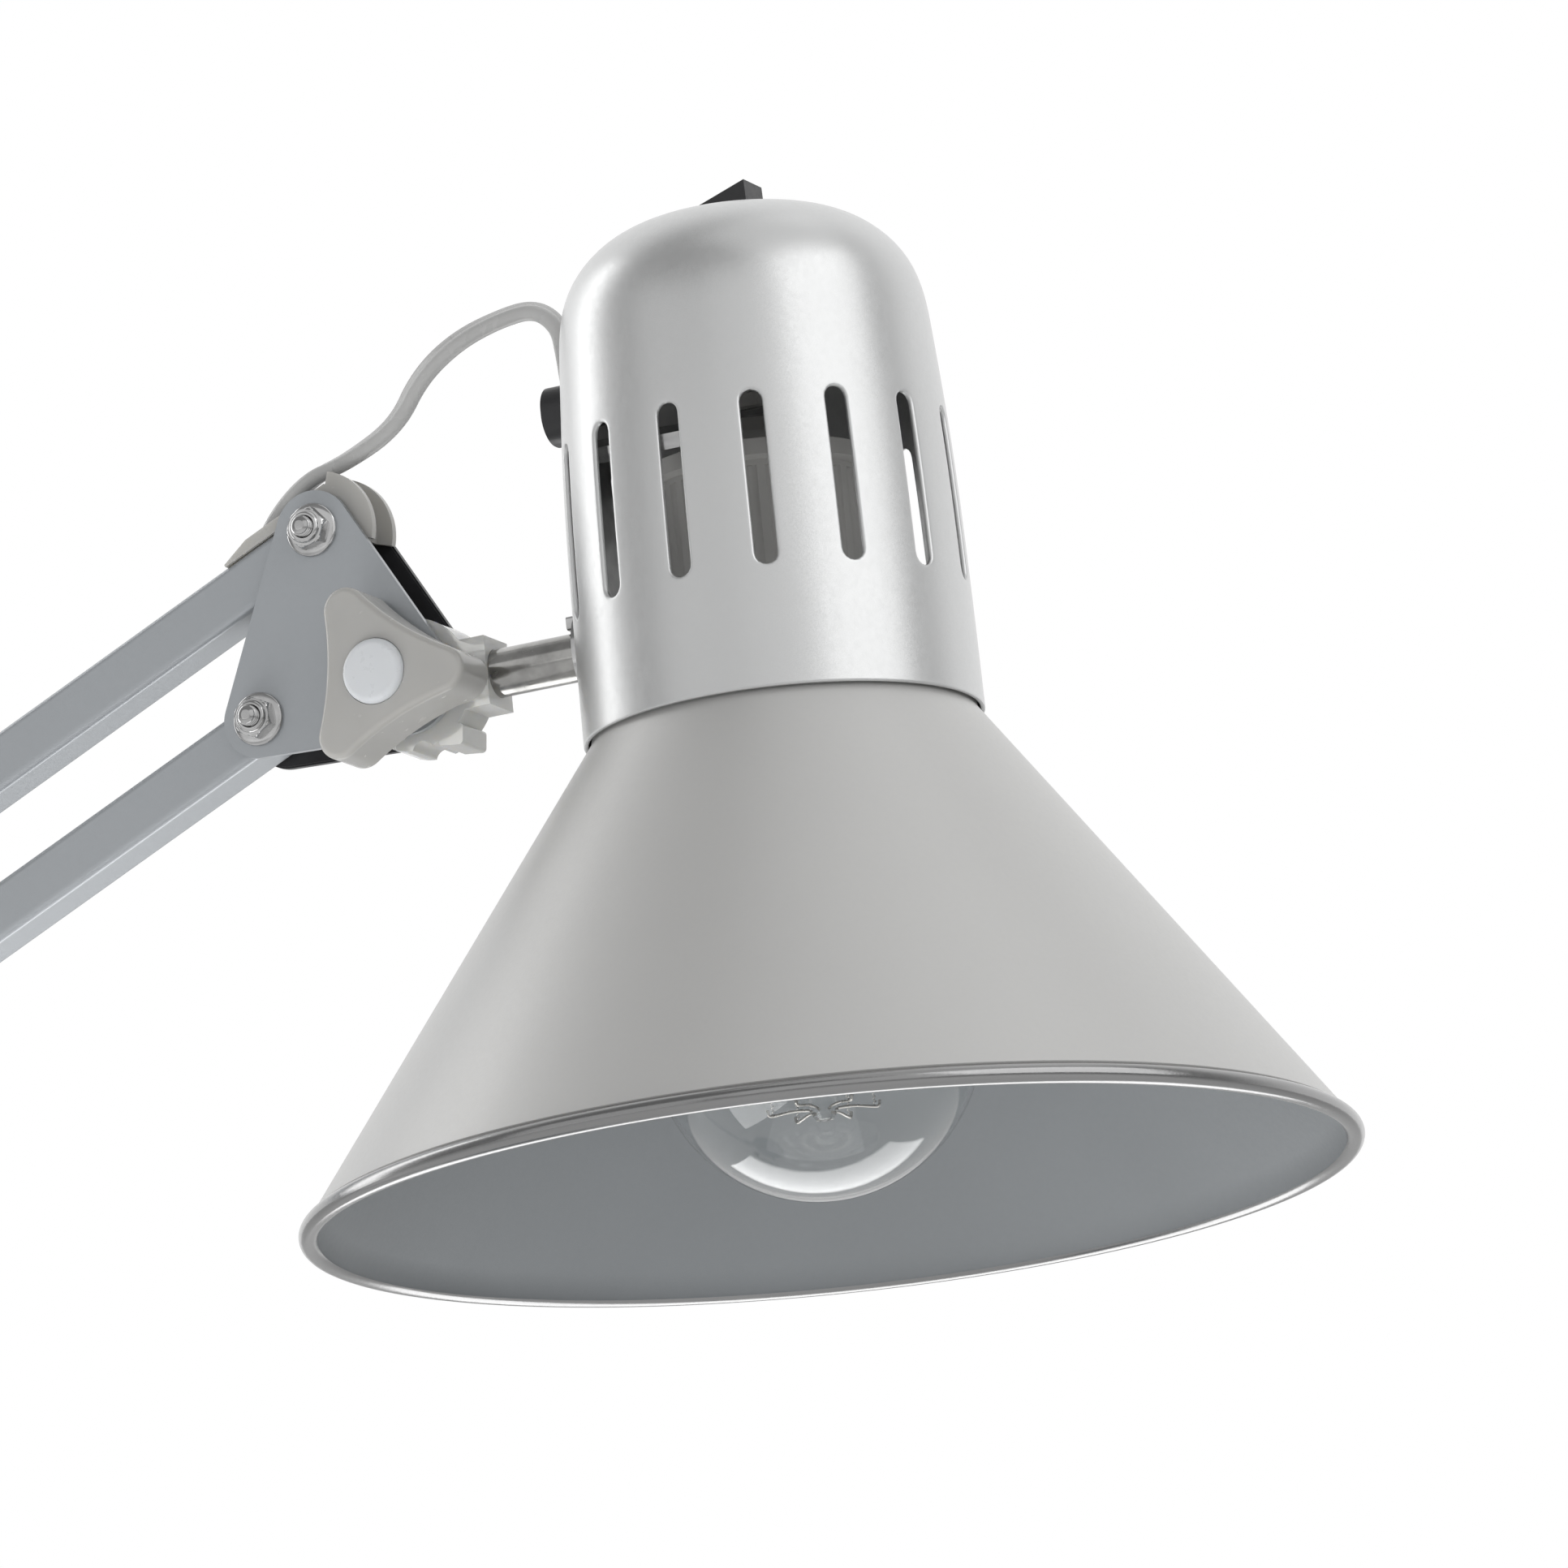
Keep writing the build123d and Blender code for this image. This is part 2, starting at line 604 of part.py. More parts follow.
with BuildPart() as rod_washer:
    with BuildSketch(rod_plane.offset(CAP_WALL_AT - 1.6)):
        Ellipse(6.4, 8.6)
        Circle(3.02, mode=Mode.SUBTRACT)
    extrude(amount=1.3)
    with BuildSketch(rod_plane.offset(CAP_WALL_AT - 4.2)):
        with Locations((0, 6.3)):
            RectangleRounded(3.6, 2.6, 0.6)
    extrude(amount=3.0)
finish(rod_washer.part, "rod_washer")

with BuildPart() as rod_nut:
    with BuildSketch(rod_plane.offset(CAP_WALL_AT + 4.6)):
        RegularPolygon(5.0, 6, major_radius=False)
        Circle(2.95, mode=Mode.SUBTRACT)
    extrude(amount=4.0)
finish(rod_nut.part, "rod_nut")

# ---------------------------------------------------------------- head
CAP_T = 0.8
SIDE = [
    (CAP_R, CAP_EDGE), (36.3, 111.0), (35.2, 142.0), (33.6, 160.0), (29.6, 172.5), (20.0, 180.5), (0.0, CAP_TOP),
]


def cap_profile(inset):
    """Half outline of the cap, from its lower edge to its crown."""
    pts = [(x - inset if x > 0 else 0.0, z if z < CAP_TOP else z - inset) for x, z in SIDE]
    pts = [(x, z - inset * max(0.0, (z - 160.0) / 24.0)) if 0 < x and z > 160.0 else (x, z) for x, z in pts]
    return Spline(*pts, tangents=[(-0.01, 1), (-1, 0)])


with BuildPart() as cap_shell:
    with BuildSketch(profile_plane):
        with BuildLine():
            outer = cap_profile(0.0)
            inner = cap_profile(CAP_T)
            Line(outer @ 0, inner @ 0)
            Line(outer @ 1, inner @ 1)
        make_face()
    revolve(axis=head_axis)
    # vent slots
    for index in range(SLOT_COUNT):
        turn = 180.0 + SLOT_TURN + (index + 0.5) * 360.0 / SLOT_COUNT
        ray = out_dir * cos(radians(turn)) + Vector(0, 1, 0) * sin(radians(turn))
        middle = rim + head_up * ((SLOT_LOW + SLOT_HIGH) / 2) + ray * 25.0
        with BuildSketch(Plane(origin=middle, x_dir=head_up, z_dir=ray)):
            SlotOverall(SLOT_HIGH - SLOT_LOW, SLOT_W)
        extrude(amount=16.0, mode=Mode.SUBTRACT)
    # rod hole, grommet hole and switch opening
    with BuildSketch(rod_plane.offset(CAP_WALL_AT - 6)):
        Circle(3.03)
    extrude(amount=12.0, mode=Mode.SUBTRACT)
    with BuildSketch(rod_plane.offset(CAP_WALL_AT - 6)):
        with Locations((0, GROMMET_H - ROD_HEIGHT)):
            Circle(4.0)
    extrude(amount=14.0, mode=Mode.SUBTRACT)
    with BuildSketch(head_plane.offset(CAP_TOP - 12)):
        Rectangle(13.1, 11.1)
    extrude(amount=20.0, mode=Mode.SUBTRACT)
finish(cap_shell.part, "cap_shell")

LIP_R = 2.1
with BuildPart() as shade_cone:
    with BuildSketch(profile_plane):
        with BuildLine():
            Polyline(
                (NECK_R, 97.0), (NECK_R, 95.0), (NECK_R + 0.35, 93.8), (NECK_R, 92.6), (NECK_R, 86.4),
                (SHADE_R - 2.0, 3.2), (SHADE_R - 2.66, 2.75), (NECK_R - 0.7, 86.0), (NECK_R - 0.7, 97.0),
                (NECK_R, 97.0),
            )
        make_face()
        with Locations((SHADE_R - LIP_R, LIP_R)):
            Circle(LIP_R)
    revolve(axis=head_axis)
finish(shade_cone.part, "shade_cone")

with BuildPart() as lamp_holder:
    with BuildSketch(profile_plane):
        with BuildLine():
            Polyline(
                (0, 147.5), (4.9, 147.5), (4.9, 140), (14, 140), (18, 137.5), (21.5, 136.5), (21.5, 133.5),
                (19.6, 133), (19.2, 92), (17.5, 86), (14.2, 86), (14.2, 112), (0, 112), (0, 147.5),
            )
        make_face()
    revolve(axis=head_axis)
    with BuildSketch(head_plane.offset(146.1)):
        RegularPolygon(7.0, 6, major_radius=False)
    extrude(amount=2.4)
    with BuildSketch(head_plane.offset(118.0)):
        Circle(3.2)
    extrude(amount=40.0, mode=Mode.SUBTRACT)
    with BuildSketch(head_plane.offset(90)):
        with PolarLocations(20.3, 36):
            Circle(1.2)
    extrude(amount=42, mode=Mode.SUBTRACT)
finish(lamp_holder.part, "lamp_holder")

with BuildPart() as holder_bracket:
    with BuildSketch(rod_plane.offset(CAP_WALL_AT + 3.0)):
        with Locations((0, 14.0)):
            Rectangle(11.0, 48.0)
        Circle(3.05, mode=Mode.SUBTRACT)
    extrude(amount=1.4)
    with BuildSketch(head_plane.offset(144.6)):
        with Locations((-13.0, 0)):
            Rectangle(40.4, 11.0)
        Circle(5.0, mode=Mode.SUBTRACT)
    extrude(amount=1.4)
finish(holder_bracket.part, "holder_bracket")


def bulb_outline(inset):
    """Half outline of the pear-shaped bulb, from its tip to its neck."""
    radius = BULB_R - inset
    shoulder = polar(32, radius)
    tip, bottom = (0, inset), polar(-29, radius)
    belly = ThreePointArc(tip, (bottom[0], BULB_R + bottom[1]), (shoulder[0], BULB_R + shoulder[1]))
    neck = Spline(
        belly @ 1, (17.2 - inset, 62.0), (13.0 - inset, 82.0), tangents=[(-0.55, 0.85), (-0.05, 1)]
    )
    return belly @ 0, neck @ 1


GLASS_T = 0.9
with BuildPart() as bulb_glass:
    with BuildSketch(profile_plane):
        with BuildLine():
            tip_out, end_out = bulb_outline(0.0)
            tip_in, end_in = bulb_outline(GLASS_T)
            Line(tip_out, tip_in)
            Line(end_out, end_in)
        make_face()
    revolve(axis=head_axis)
finish(bulb_glass.part, "bulb_glass")

with BuildPart() as bulb_mount:
    with BuildSketch(profile_plane):
        with BuildLine():
            Polyline((0, 81.5), (8.0, 81.5), (3.6, 76.0), (2.6, 62.0), (2.6, 27.0), (0, 27.0), (0, 81.5))
        make_face()
    revolve(axis=head_axis)
    for side in (-1, 1):
        with BuildSketch(Plane(origin=rim + head_up * 27.0, x_dir=out_dir, z_dir=head_up * -1)):
            with Locations((side * 2.0, 0)):
                Circle(0.4)
        extrude(amount=9.0)
finish(bulb_mount.part, "bulb_mount")

with BuildPart() as bulb_base:
    with BuildSketch(profile_plane):
        with BuildLine():
            Polyline(
                (0, 82.0), (13.3, 82.0), (13.3, 103.0), (9.0, 106.0), (4.5, 107.5), (4.5, 109.5), (0, 109.5),
                (0, 82.0),
            )
        make_face()
    revolve(axis=head_axis)
finish(bulb_base.part, "bulb_base")

# angled grommet: the lead comes down into its top and goes on through the wall
with BuildPart() as cord_grommet:
    with BuildSketch(rod_plane.offset(CAP_WALL_AT - 4.5)):
        with Locations((2.4, GROMMET_H - ROD_HEIGHT)):
            RectangleRounded(11.0, 11.0, 5.0)
    extrude(amount=5.7)
    with BuildSketch(rod_plane.offset(CAP_WALL_AT + 1.2)):
        with Locations((0, GROMMET_H - ROD_HEIGHT)):
            Circle(3.95)
    extrude(amount=6.0)
finish(cord_grommet.part, "cord_grommet")

with BuildPart() as switch_housing:
    with BuildSketch(head_plane.offset(CAP_TOP - 14)):
        RectangleRounded(12.8, 10.8, 0.8)
    extrude(amount=14.0)
    with BuildSketch(head_plane.offset(CAP_TOP)):
        RectangleRounded(14.2, 12.2, 1.2)
    extrude(amount=0.6)
    with BuildSketch(head_plane.offset(CAP_TOP - 6)):
        Rectangle(10.8, 8.8)
    extrude(amount=10.0, mode=Mode.SUBTRACT)
finish(switch_housing.part, "switch_housing")

ROCKER_AXIS_H = CAP_TOP - 1.0
with BuildPart() as switch_rocker:
    with BuildSketch(Plane(origin=rim + Vector(0, 4.0, 0), x_dir=out_dir, z_dir=(0, -1, 0))):
        with BuildLine():
            Polyline(
                (-4.9, ROCKER_AXIS_H + 3.4), (4.7, ROCKER_AXIS_H + 6.6), (4.9, ROCKER_AXIS_H + 0.4),
                (2.6, ROCKER_AXIS_H - 3.0), (-2.6, ROCKER_AXIS_H - 3.0), (-4.9, ROCKER_AXIS_H - 0.6),
                (-4.9, ROCKER_AXIS_H + 3.4),
            )
        make_face()
    extrude(amount=8.0)
finish(switch_rocker.part, "switch_rocker")

LEAD_R = 0.9
with BuildPart() as head_leads:
    for side in (-1.1, 1.1):
        entry = head_plane.from_local_coords((-28.8, side, GROMMET_H))
        bend_a = head_plane.from_local_coords((-16.0, side, GROMMET_H + 4.0))
        bend_b = head_plane.from_local_coords((-1.0, side, GROMMET_H + 2.0))
        down = head_plane.from_local_coords((0.0, side, 120.0))
        with BuildLine():
            lead = FilletPolyline(entry, bend_a, bend_b, down, radius=[20.0, 5.0])
        with BuildSketch(Plane(origin=lead @ 0, z_dir=lead % 0)):
            Circle(LEAD_R)
        sweep(path=lead)
finish(head_leads.part, "head_leads")

# ---------------------------------------------------------------- cords
inside_c = bar_across * 1.6


def route_points(*points):
    return [tuple(point) for point in points]


head_loop = [(shift(head_c, (x, z))[0], y, shift(head_c, (x, z))[1]) for x, y, z in (
    (-20.72, 0, -10.11), (-15.09, 0, -6.86), (-11.66, 0, 3.2), (-4.2, 0, 11.2), (3.4, 0, 13.6),
    (13.8, 0, 19.6), (18.3, 0.3, 28.5), (25.5, 0.9, 34.8), (34.0, 2.0, 38.6), (40.6, 3.4, 40.2),
    (45.2, 4.3, 36.4), (46.2, 4.7, 30.8), (47.05, 4.7, 25.35),
)]
cord("cord_head_loop", head_loop)

along_low = at(polar(LOWER_ANGLE, 1.0))
low_a, high_a = at(base_a), at(elbow_a)
cord("cord_in_upper_bar", route_points(
    at(elbow_c) + bar_along * 33 + inside_c, at(elbow_c) + bar_along * (ARM_LENGTH - 23) + inside_c))
cord("cord_in_lower_bar", route_points(low_a + along_low * 37, high_a - along_low * 33))

elbow_low = [(shift(elbow_a, (x, z))[0], y, shift(elbow_a, (x, z))[1]) for x, y, z in (
    (13.95, 0, -29.91), (10.99, 0, -23.56), (1.05, 0, -18.82), (-9.0, 0, -15.5), (-16.5, 0, -6.5),
    (-16.0, 0, 5.0), (-8.5, 0, 12.5), (0, 0, 22.0), (0, 0, 34.0),
)]
cord("cord_elbow_low", elbow_low)
elbow_high = [(shift(elbow_a, (x, z))[0], y, shift(elbow_a, (x, z))[1]) for x, y, z in (
    (0, 0, 34.0), (0, 0, 45.0), (4.0, 0, 57.0), (9.5, 0, 67.5), (17.0, 0, 77.0), (25.5, 0, 82.5),
    (35.06, 0, 82.39), (47.4, 0, 80.99), (53.46, 0, 84.49),
)]
cord("cord_elbow_high", elbow_high)
base_loop = [(base_a[0] + x, 0, base_a[1] + z) for x, z in (
    (-15.64, 33.53), (-12.68, 27.19), (-2.56, 22.53), (6.5, 17.0), (14.5, 9.5), (18.0, -1.0), (18.0, -12.0),
)]
cord("cord_base_loop", base_loop)
# free mains lead behind the base, its spare length coiled and tied, with a plain two-pin plug
COIL_AT = (-62.0, 168.0)
COIL_IN, COIL_OUT, COIL_H, COIL_LIFT = 21.5, 38.6, 9.8, 1.0
cord("cord_floor", [
    (0, 0, PIVOT_H - 12.0), (0, 0, 28.0), (0, -0.7, 5.0), (0.3, 22.0, 5.0), (-0.3, 45.0, 5.0),
    (0.2, 68.0, 5.0), (0, BASE_R - 2, 5.0), (0, BASE_R + 25, 5.0), (0.5, BASE_R + 43, 2.9),
    (3, BASE_R + 62, 2.4), (1, BASE_R + 82, 2.4), (-10, BASE_R + 99, 2.4), (-28, BASE_R + 109, 2.6),
    (-46, BASE_R + 113, 3.0), (COIL_AT[0], COIL_AT[1] + 34.0, 4.0),
])
with BuildPart() as cord_coil:
    with BuildSketch(Plane(origin=(COIL_AT[0], COIL_AT[1], 0), x_dir=(1, 0, 0), z_dir=(0, -1, 0))):
        with Locations(((COIL_IN + COIL_OUT) / 2, COIL_H / 2 + COIL_LIFT)):
            RectangleRounded(COIL_OUT - COIL_IN, COIL_H, 3.0)
    revolve(axis=Axis((COIL_AT[0], COIL_AT[1], 0), (0, 0, 1)))
finish(cord_coil.part, "cord_coil")

with BuildPart() as cord_tie:
    with BuildSketch(Plane(origin=(COIL_AT[0], COIL_AT[1] - 3.0, 0), x_dir=(1, 0, 0), z_dir=(0, 1, 0))):
        with Locations(((COIL_IN + COIL_OUT) / 2, -COIL_H / 2 - COIL_LIFT)):
            RectangleRounded(COIL_OUT - COIL_IN + 2.4, COIL_H + 1.6, 3.4)
            RectangleRounded(COIL_OUT - COIL_IN + 0.8, COIL_H + 0.1, 3.0, mode=Mode.SUBTRACT)
    extrude(amount=6.0)
finish(cord_tie.part, "cord_tie")

PLUG_X, PLUG_BACK = COIL_AT[0] - 37.0, 122.0
cord("cord_tail", [
    (COIL_AT[0] - 35.4, COIL_AT[1], 8.2), (COIL_AT[0] - 35.8, COIL_AT[1] - 15, 7.9), (PLUG_X, COIL_AT[1] - 30, 7.4),
    (PLUG_X - 0.5, PLUG_BACK, 7.2),
])
with BuildPart() as plug:
    with BuildSketch(Plane(origin=(PLUG_X - 0.5, PLUG_BACK + 10, 7.2), x_dir=(1, 0, 0), z_dir=(0, -1, 0))):
        Circle(3.4)
    with BuildSketch(Plane(origin=(PLUG_X - 0.5, PLUG_BACK - 14, 7.2), x_dir=(1, 0, 0), z_dir=(0, -1, 0))):
        Circle(4.6)
    loft()
    with BuildSketch(Plane(origin=(PLUG_X - 0.5, PLUG_BACK - 12, 7.2), x_dir=(1, 0, 0), z_dir=(0, -1, 0))):
        RectangleRounded(27.0, 13.8, 4.0)
    extrude(amount=24.0)
    fillet(plug.faces().sort_by(Axis.Y)[0].edges(), 1.5)
    with BuildSketch(Plane(origin=(PLUG_X - 0.5, PLUG_BACK + 12, 7.2), x_dir=(1, 0, 0), z_dir=(0, -1, 0))):
        Circle(CORD_R)
    extrude(amount=12.0, mode=Mode.SUBTRACT)
finish(plug.part, "plug")

with BuildPart() as plug_pins:
    with BuildSketch(Plane(origin=(PLUG_X - 0.5, PLUG_BACK - 36, 7.2), x_dir=(1, 0, 0), z_dir=(0, -1, 0))):
        with Locations((-9.3, 0), (9.3, 0)):
            Circle(2.0)
    extrude(amount=19.0)
    fillet(plug_pins.edges().group_by(Axis.Y)[0], 1.2)
finish(plug_pins.part, "plug_pins")
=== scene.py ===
import json
import math

import bmesh
import bpy
import numpy as np
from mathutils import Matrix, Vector


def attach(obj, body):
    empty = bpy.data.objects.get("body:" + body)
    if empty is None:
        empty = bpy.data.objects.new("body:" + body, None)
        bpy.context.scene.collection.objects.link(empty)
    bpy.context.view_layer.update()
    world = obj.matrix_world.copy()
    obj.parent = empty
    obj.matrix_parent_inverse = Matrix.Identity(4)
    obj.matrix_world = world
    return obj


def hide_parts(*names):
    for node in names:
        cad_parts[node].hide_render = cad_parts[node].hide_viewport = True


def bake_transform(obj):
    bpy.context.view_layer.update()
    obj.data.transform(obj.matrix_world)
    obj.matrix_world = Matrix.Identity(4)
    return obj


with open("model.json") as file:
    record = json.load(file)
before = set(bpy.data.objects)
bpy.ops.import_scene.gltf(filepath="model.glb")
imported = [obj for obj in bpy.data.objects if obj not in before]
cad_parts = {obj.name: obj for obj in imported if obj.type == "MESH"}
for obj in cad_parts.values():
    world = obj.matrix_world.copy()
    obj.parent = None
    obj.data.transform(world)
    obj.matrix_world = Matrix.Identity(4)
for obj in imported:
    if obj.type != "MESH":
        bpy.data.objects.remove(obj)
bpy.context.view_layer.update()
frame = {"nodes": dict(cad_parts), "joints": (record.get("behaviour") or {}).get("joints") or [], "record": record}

MM = 0.001
JOINT = {joint["name"]: joint for joint in frame["joints"]}


# ---------------------------------------------------------------- places, as in the CAD source, in mm
def polar(angle, length):
    """(x, z) offset in the arms' plane."""
    return length * math.cos(math.radians(angle)), length * math.sin(math.radians(angle))


def place(point, y=0.0):
    """A point of the arms' plane as a vector in mm."""
    return Vector((point[0], y, point[1]))


def joint_point(name):
    return Vector(JOINT[name]["pos_m"]) / MM


LOWER_ANGLE, UPPER_ANGLE, ARM_LENGTH = 115.0, 30.0, 380.0
HEAD_LEAN = 6.3
ROD_REACH, ROD_HEIGHT = 71.3, 108.0
PLATE_OUT = 6.9
SPRING_Y = 12.3

base_a, base_b = joint_point("lower_lift"), joint_point("lower_follow")
elbow_a, elbow_c, elbow_d = joint_point("elbow_level"), joint_point("upper_lift"), joint_point("upper_follow")
head_c, tilt = joint_point("bracket_level"), joint_point("head_tilt")
low_along, up_along = place(polar(LOWER_ANGLE, 1)), place(polar(UPPER_ANGLE, 1))
low_across, up_across = place(polar(LOWER_ANGLE + 90, 1)), place(polar(UPPER_ANGLE + 90, 1))
elbow_b = base_b + low_along * ARM_LENGTH
head_d = elbow_d + up_along * ARM_LENGTH
OUT = place(polar(HEAD_LEAN, 1))
UP = place(polar(HEAD_LEAN + 90, 1))
ACROSS = Vector((0, 1, 0))
rim = tilt + OUT * ROD_REACH - UP * ROD_HEIGHT


def head_point(x, y, h):
    return rim + OUT * x + ACROSS * y + UP * h


# ---------------------------------------------------------------- camera
CAM_TURN, CAM_RISE = math.radians(24.5), math.radians(-10.0)
CAM_DISTANCE, FRAME_WIDTH = 2500.0, 284.1
camera = bpy.data.objects.new("camera", bpy.data.cameras.new("camera"))
bpy.context.scene.collection.objects.link(camera)
bpy.context.scene.camera = camera
back = Vector((
    math.sin(CAM_TURN) * math.cos(CAM_RISE), -math.cos(CAM_TURN) * math.cos(CAM_RISE), math.sin(CAM_RISE),
))
aim = head_c + Vector((92.3, 0, -53.1))
camera.location = (aim + back * CAM_DISTANCE) * MM
camera.rotation_mode = "QUATERNION"
camera.rotation_quaternion = (-back).to_track_quat("-Z", "Y")
camera.data.sensor_width = 36.0
camera.data.lens = 36.0 * CAM_DISTANCE / FRAME_WIDTH
camera.data.clip_start, camera.data.clip_end = 0.05, 50.0
VIEW_RIGHT = Vector((math.cos(CAM_TURN), math.sin(CAM_TURN), 0))


# ---------------------------------------------------------------- mesh helpers
def new_mesh(name, points, faces, smooth_angle=40.0):
    """A mesh object from points in mm, shaded smooth below the given angle."""
    mesh = bpy.data.meshes.new(name)
    mesh.from_pydata([tuple(Vector(p) * MM) for p in points], [], faces)
    work = bmesh.new()
    work.from_mesh(mesh)
    bmesh.ops.remove_doubles(work, verts=work.verts, dist=1e-7)
    bmesh.ops.recalc_face_normals(work, faces=work.faces)
    work.to_mesh(mesh)
    work.free()
    smooth_faces(mesh, smooth_angle)
    piece = bpy.data.objects.new(name, mesh)
    bpy.context.scene.collection.objects.link(piece)
    return piece


def smooth_faces(mesh, smooth_angle):
    """Smooth shading with sharp edges where the faces turn by more than the angle."""
    mesh.shade_smooth()
    work = bmesh.new()
    work.from_mesh(mesh)
    limit = math.radians(smooth_angle)
    for edge in work.edges:
        edge.smooth = len(edge.link_faces) == 2 and edge.calc_face_angle(0.0) < limit
    work.to_mesh(mesh)
    work.free()


def grid_faces(rows, columns, wrap_columns=True, wrap_rows=False, first=0):
    faces = []
    for i in range(rows if wrap_rows else rows - 1):
        for j in range(columns if wrap_columns else columns - 1):
            a, b = i * columns + j, i * columns + (j + 1) % columns
            c, d = (i + 1) % rows * columns + (j + 1) % columns, (i + 1) % rows * columns + j
            faces.append((first + a, first + b, first + c, first + d))
    return faces


def lathe(name, profile, to_world, segments=128, closed=False, smooth_angle=40.0):
    """Turns (radius, height) points about an axis; to_world takes x, y and height in mm."""
    points = []
    for radius, height in profile:
        for step in range(segments):
            turn = 2 * math.pi * step / segments
            points.append(to_world(radius * math.cos(turn), radius * math.sin(turn), height))
    return new_mesh(name, points, grid_faces(len(profile), segments, True, closed), smooth_angle)


def axis_place(origin, axis, start_from=None):
    """A to_world function for a lathe about the axis through origin."""
    axis = Vector(axis).normalized()
    side = axis.orthogonal().normalized() if start_from is None else Vector(start_from).normalized()
    other = axis.cross(side)
    return lambda x, y, h: origin + side * x + other * y + axis * h


def fuse(name, parts, smooth_angle=40.0):
    """One object of several meshes."""
    bpy.ops.object.select_all(action="DESELECT")
    for part in parts:
        part.select_set(True)
    bpy.context.view_layer.objects.active = parts[0]
    if len(parts) > 1:
        bpy.ops.object.join()
    piece = bpy.context.view_layer.objects.active
    piece.name = name
    piece.data.name = name
    return piece


def bevel(piece, width, segments=2, angle=30.0):
    """Rounds a piece's sharp edges."""
    rounding = piece.modifiers.new("rounding", "BEVEL")
    rounding.width = width * MM
    rounding.segments = segments
    rounding.limit_method = "ANGLE"
    rounding.angle_limit = math.radians(angle)
    rounding.harden_normals = True
    return piece


def nurbs_line(points, fineness=10):
    """Points along the smooth order 3 NURBS curve of a route, in mm."""
    curve = bpy.data.curves.new("route", "CURVE")
    curve.dimensions = "3D"
    curve.resolution_u = fineness
    spline = curve.splines.new("NURBS")
    spline.points.add(len(points) - 1)
    for slot, point in zip(spline.points, points):
        slot.co = (*(Vector(point) * MM), 1.0)
    spline.order_u = 3
    spline.use_endpoint_u = True
    holder = bpy.data.objects.new("route", curve)
    bpy.context.scene.collection.objects.link(holder)
    bpy.context.view_layer.update()
    mesh = bpy.data.meshes.new_from_object(holder)
    line = [v.co / MM for v in mesh.vertices]
    bpy.data.objects.remove(holder)
    bpy.data.curves.remove(curve)
    bpy.data.meshes.remove(mesh)
    return line


def run_lengths(line):
    lengths = [0.0]
    for before, after in zip(line, line[1:]):
        lengths.append(lengths[-1] + (after - before).length)
    return lengths


def sweep(name, line, section, flat_normal, smooth_angle=50.0):
    """A tube of the given section along a line. flat_normal(share) is the direction of the section's y."""
    lengths = run_lengths(line)
    points = []
    for index, point in enumerate(line):
        ahead, behind = line[min(index + 1, len(line) - 1)], line[max(index - 1, 0)]
        tangent = (ahead - behind).normalized()
        normal = Vector(flat_normal(lengths[index] / lengths[-1]))
        normal = (normal - tangent * normal.dot(tangent)).normalized()
        side = tangent.cross(normal)
        points += [point + side * x + normal * y for x, y in section]
    count = len(section)
    faces = grid_faces(len(line), count)
    faces.append(tuple(range(count)))
    faces.append(tuple(len(points) - count + i for i in reversed(range(count))))
    return new_mesh(name, points, faces, smooth_angle)


def round_section(radius, count=10):
    return [polar(360.0 * i / count, radius) for i in range(count)]


def lead_section(width=5.0, thickness=3.0, groove=0.22):
    """Two-core flat lead: a flat oval with a shallow groove along each face."""
    half = thickness / 2
    centre = width / 2 - half
    outline = []
    for step in range(7):
        outline.append((centre + half * math.cos(math.radians(-75 + 25 * step)),
                        half * math.sin(math.radians(-75 + 25 * step))))
    outline += [(0.45, half - groove * 0.6), (0, half - groove), (-0.45, half - groove * 0.6)]
    for step in range(7):
        outline.append((-centre + half * math.cos(math.radians(105 + 25 * step)),
                        half * math.sin(math.radians(105 + 25 * step))))
    outline += [(-0.45, -half + groove * 0.6), (0, -half + groove), (0.45, -half + groove * 0.6)]
    return outline


def lead_piece(name, line, normal, nodes):
    """One stretch of the flat lead; hides the CAD nodes it stands in for."""
    piece = sweep(name, line, lead_section(), normal)
    if nodes:
        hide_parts(*nodes)
    return piece


def cut_line(line, first, last):
    """The part of a line between two lengths along it, with the cut points added."""
    lengths = run_lengths(line)

    def at_length(wanted):
        for index in range(1, len(line)):
            if lengths[index] >= wanted:
                share = (wanted - lengths[index - 1]) / max(lengths[index] - lengths[index - 1], 1e-9)
                return line[index - 1].lerp(line[index], share)
        return line[-1].copy()

    inner = [p for p, length in zip(line, lengths) if first + 0.2 < length < last - 0.2]
    return [at_length(first), *inner, at_length(last)]


def turning(*normals):
    """A flat normal that turns evenly through the given directions."""
    def normal(share):
        spot = share * (len(normals) - 1)
        index = min(int(spot), len(normals) - 2)
        return Vector(normals[index]).lerp(Vector(normals[index + 1]), spot - index)
    return normal


ALL_CORDS = []

# loop from the upper bar's end over the guide to the cap
HEAD_LOOP = [
    (-20.72, 0, -10.11), (-15.09, 0, -6.86), (-11.66, 0, 3.2), (-4.2, 0, 11.2), (3.4, 0, 13.6),
    (13.8, 0, 19.6), (18.3, 0.3, 28.5), (25.5, 0.9, 34.8), (34.0, 2.0, 38.6), (40.6, 3.4, 40.2),
    (45.2, 4.3, 36.4), (46.2, 4.7, 30.8), (47.05, 4.7, 25.35),
]
head_line = nurbs_line([head_c + Vector(p) for p in HEAD_LOOP], 8)
head_total = run_lengths(head_line)[-1]
head_normal = turning((-.4, 0, .9), (-.5, 0, .85), (-.5, -.2, .8), (-.7, -.5, .6), (-.6, -.75, .5),
                      (-.3, -.8, .6), (.1, -.5, .85), (.6, -.2, .7), (1, 0, .1))
LOOP_CUTS = (0.0, 0.335, 0.665, 1.0)
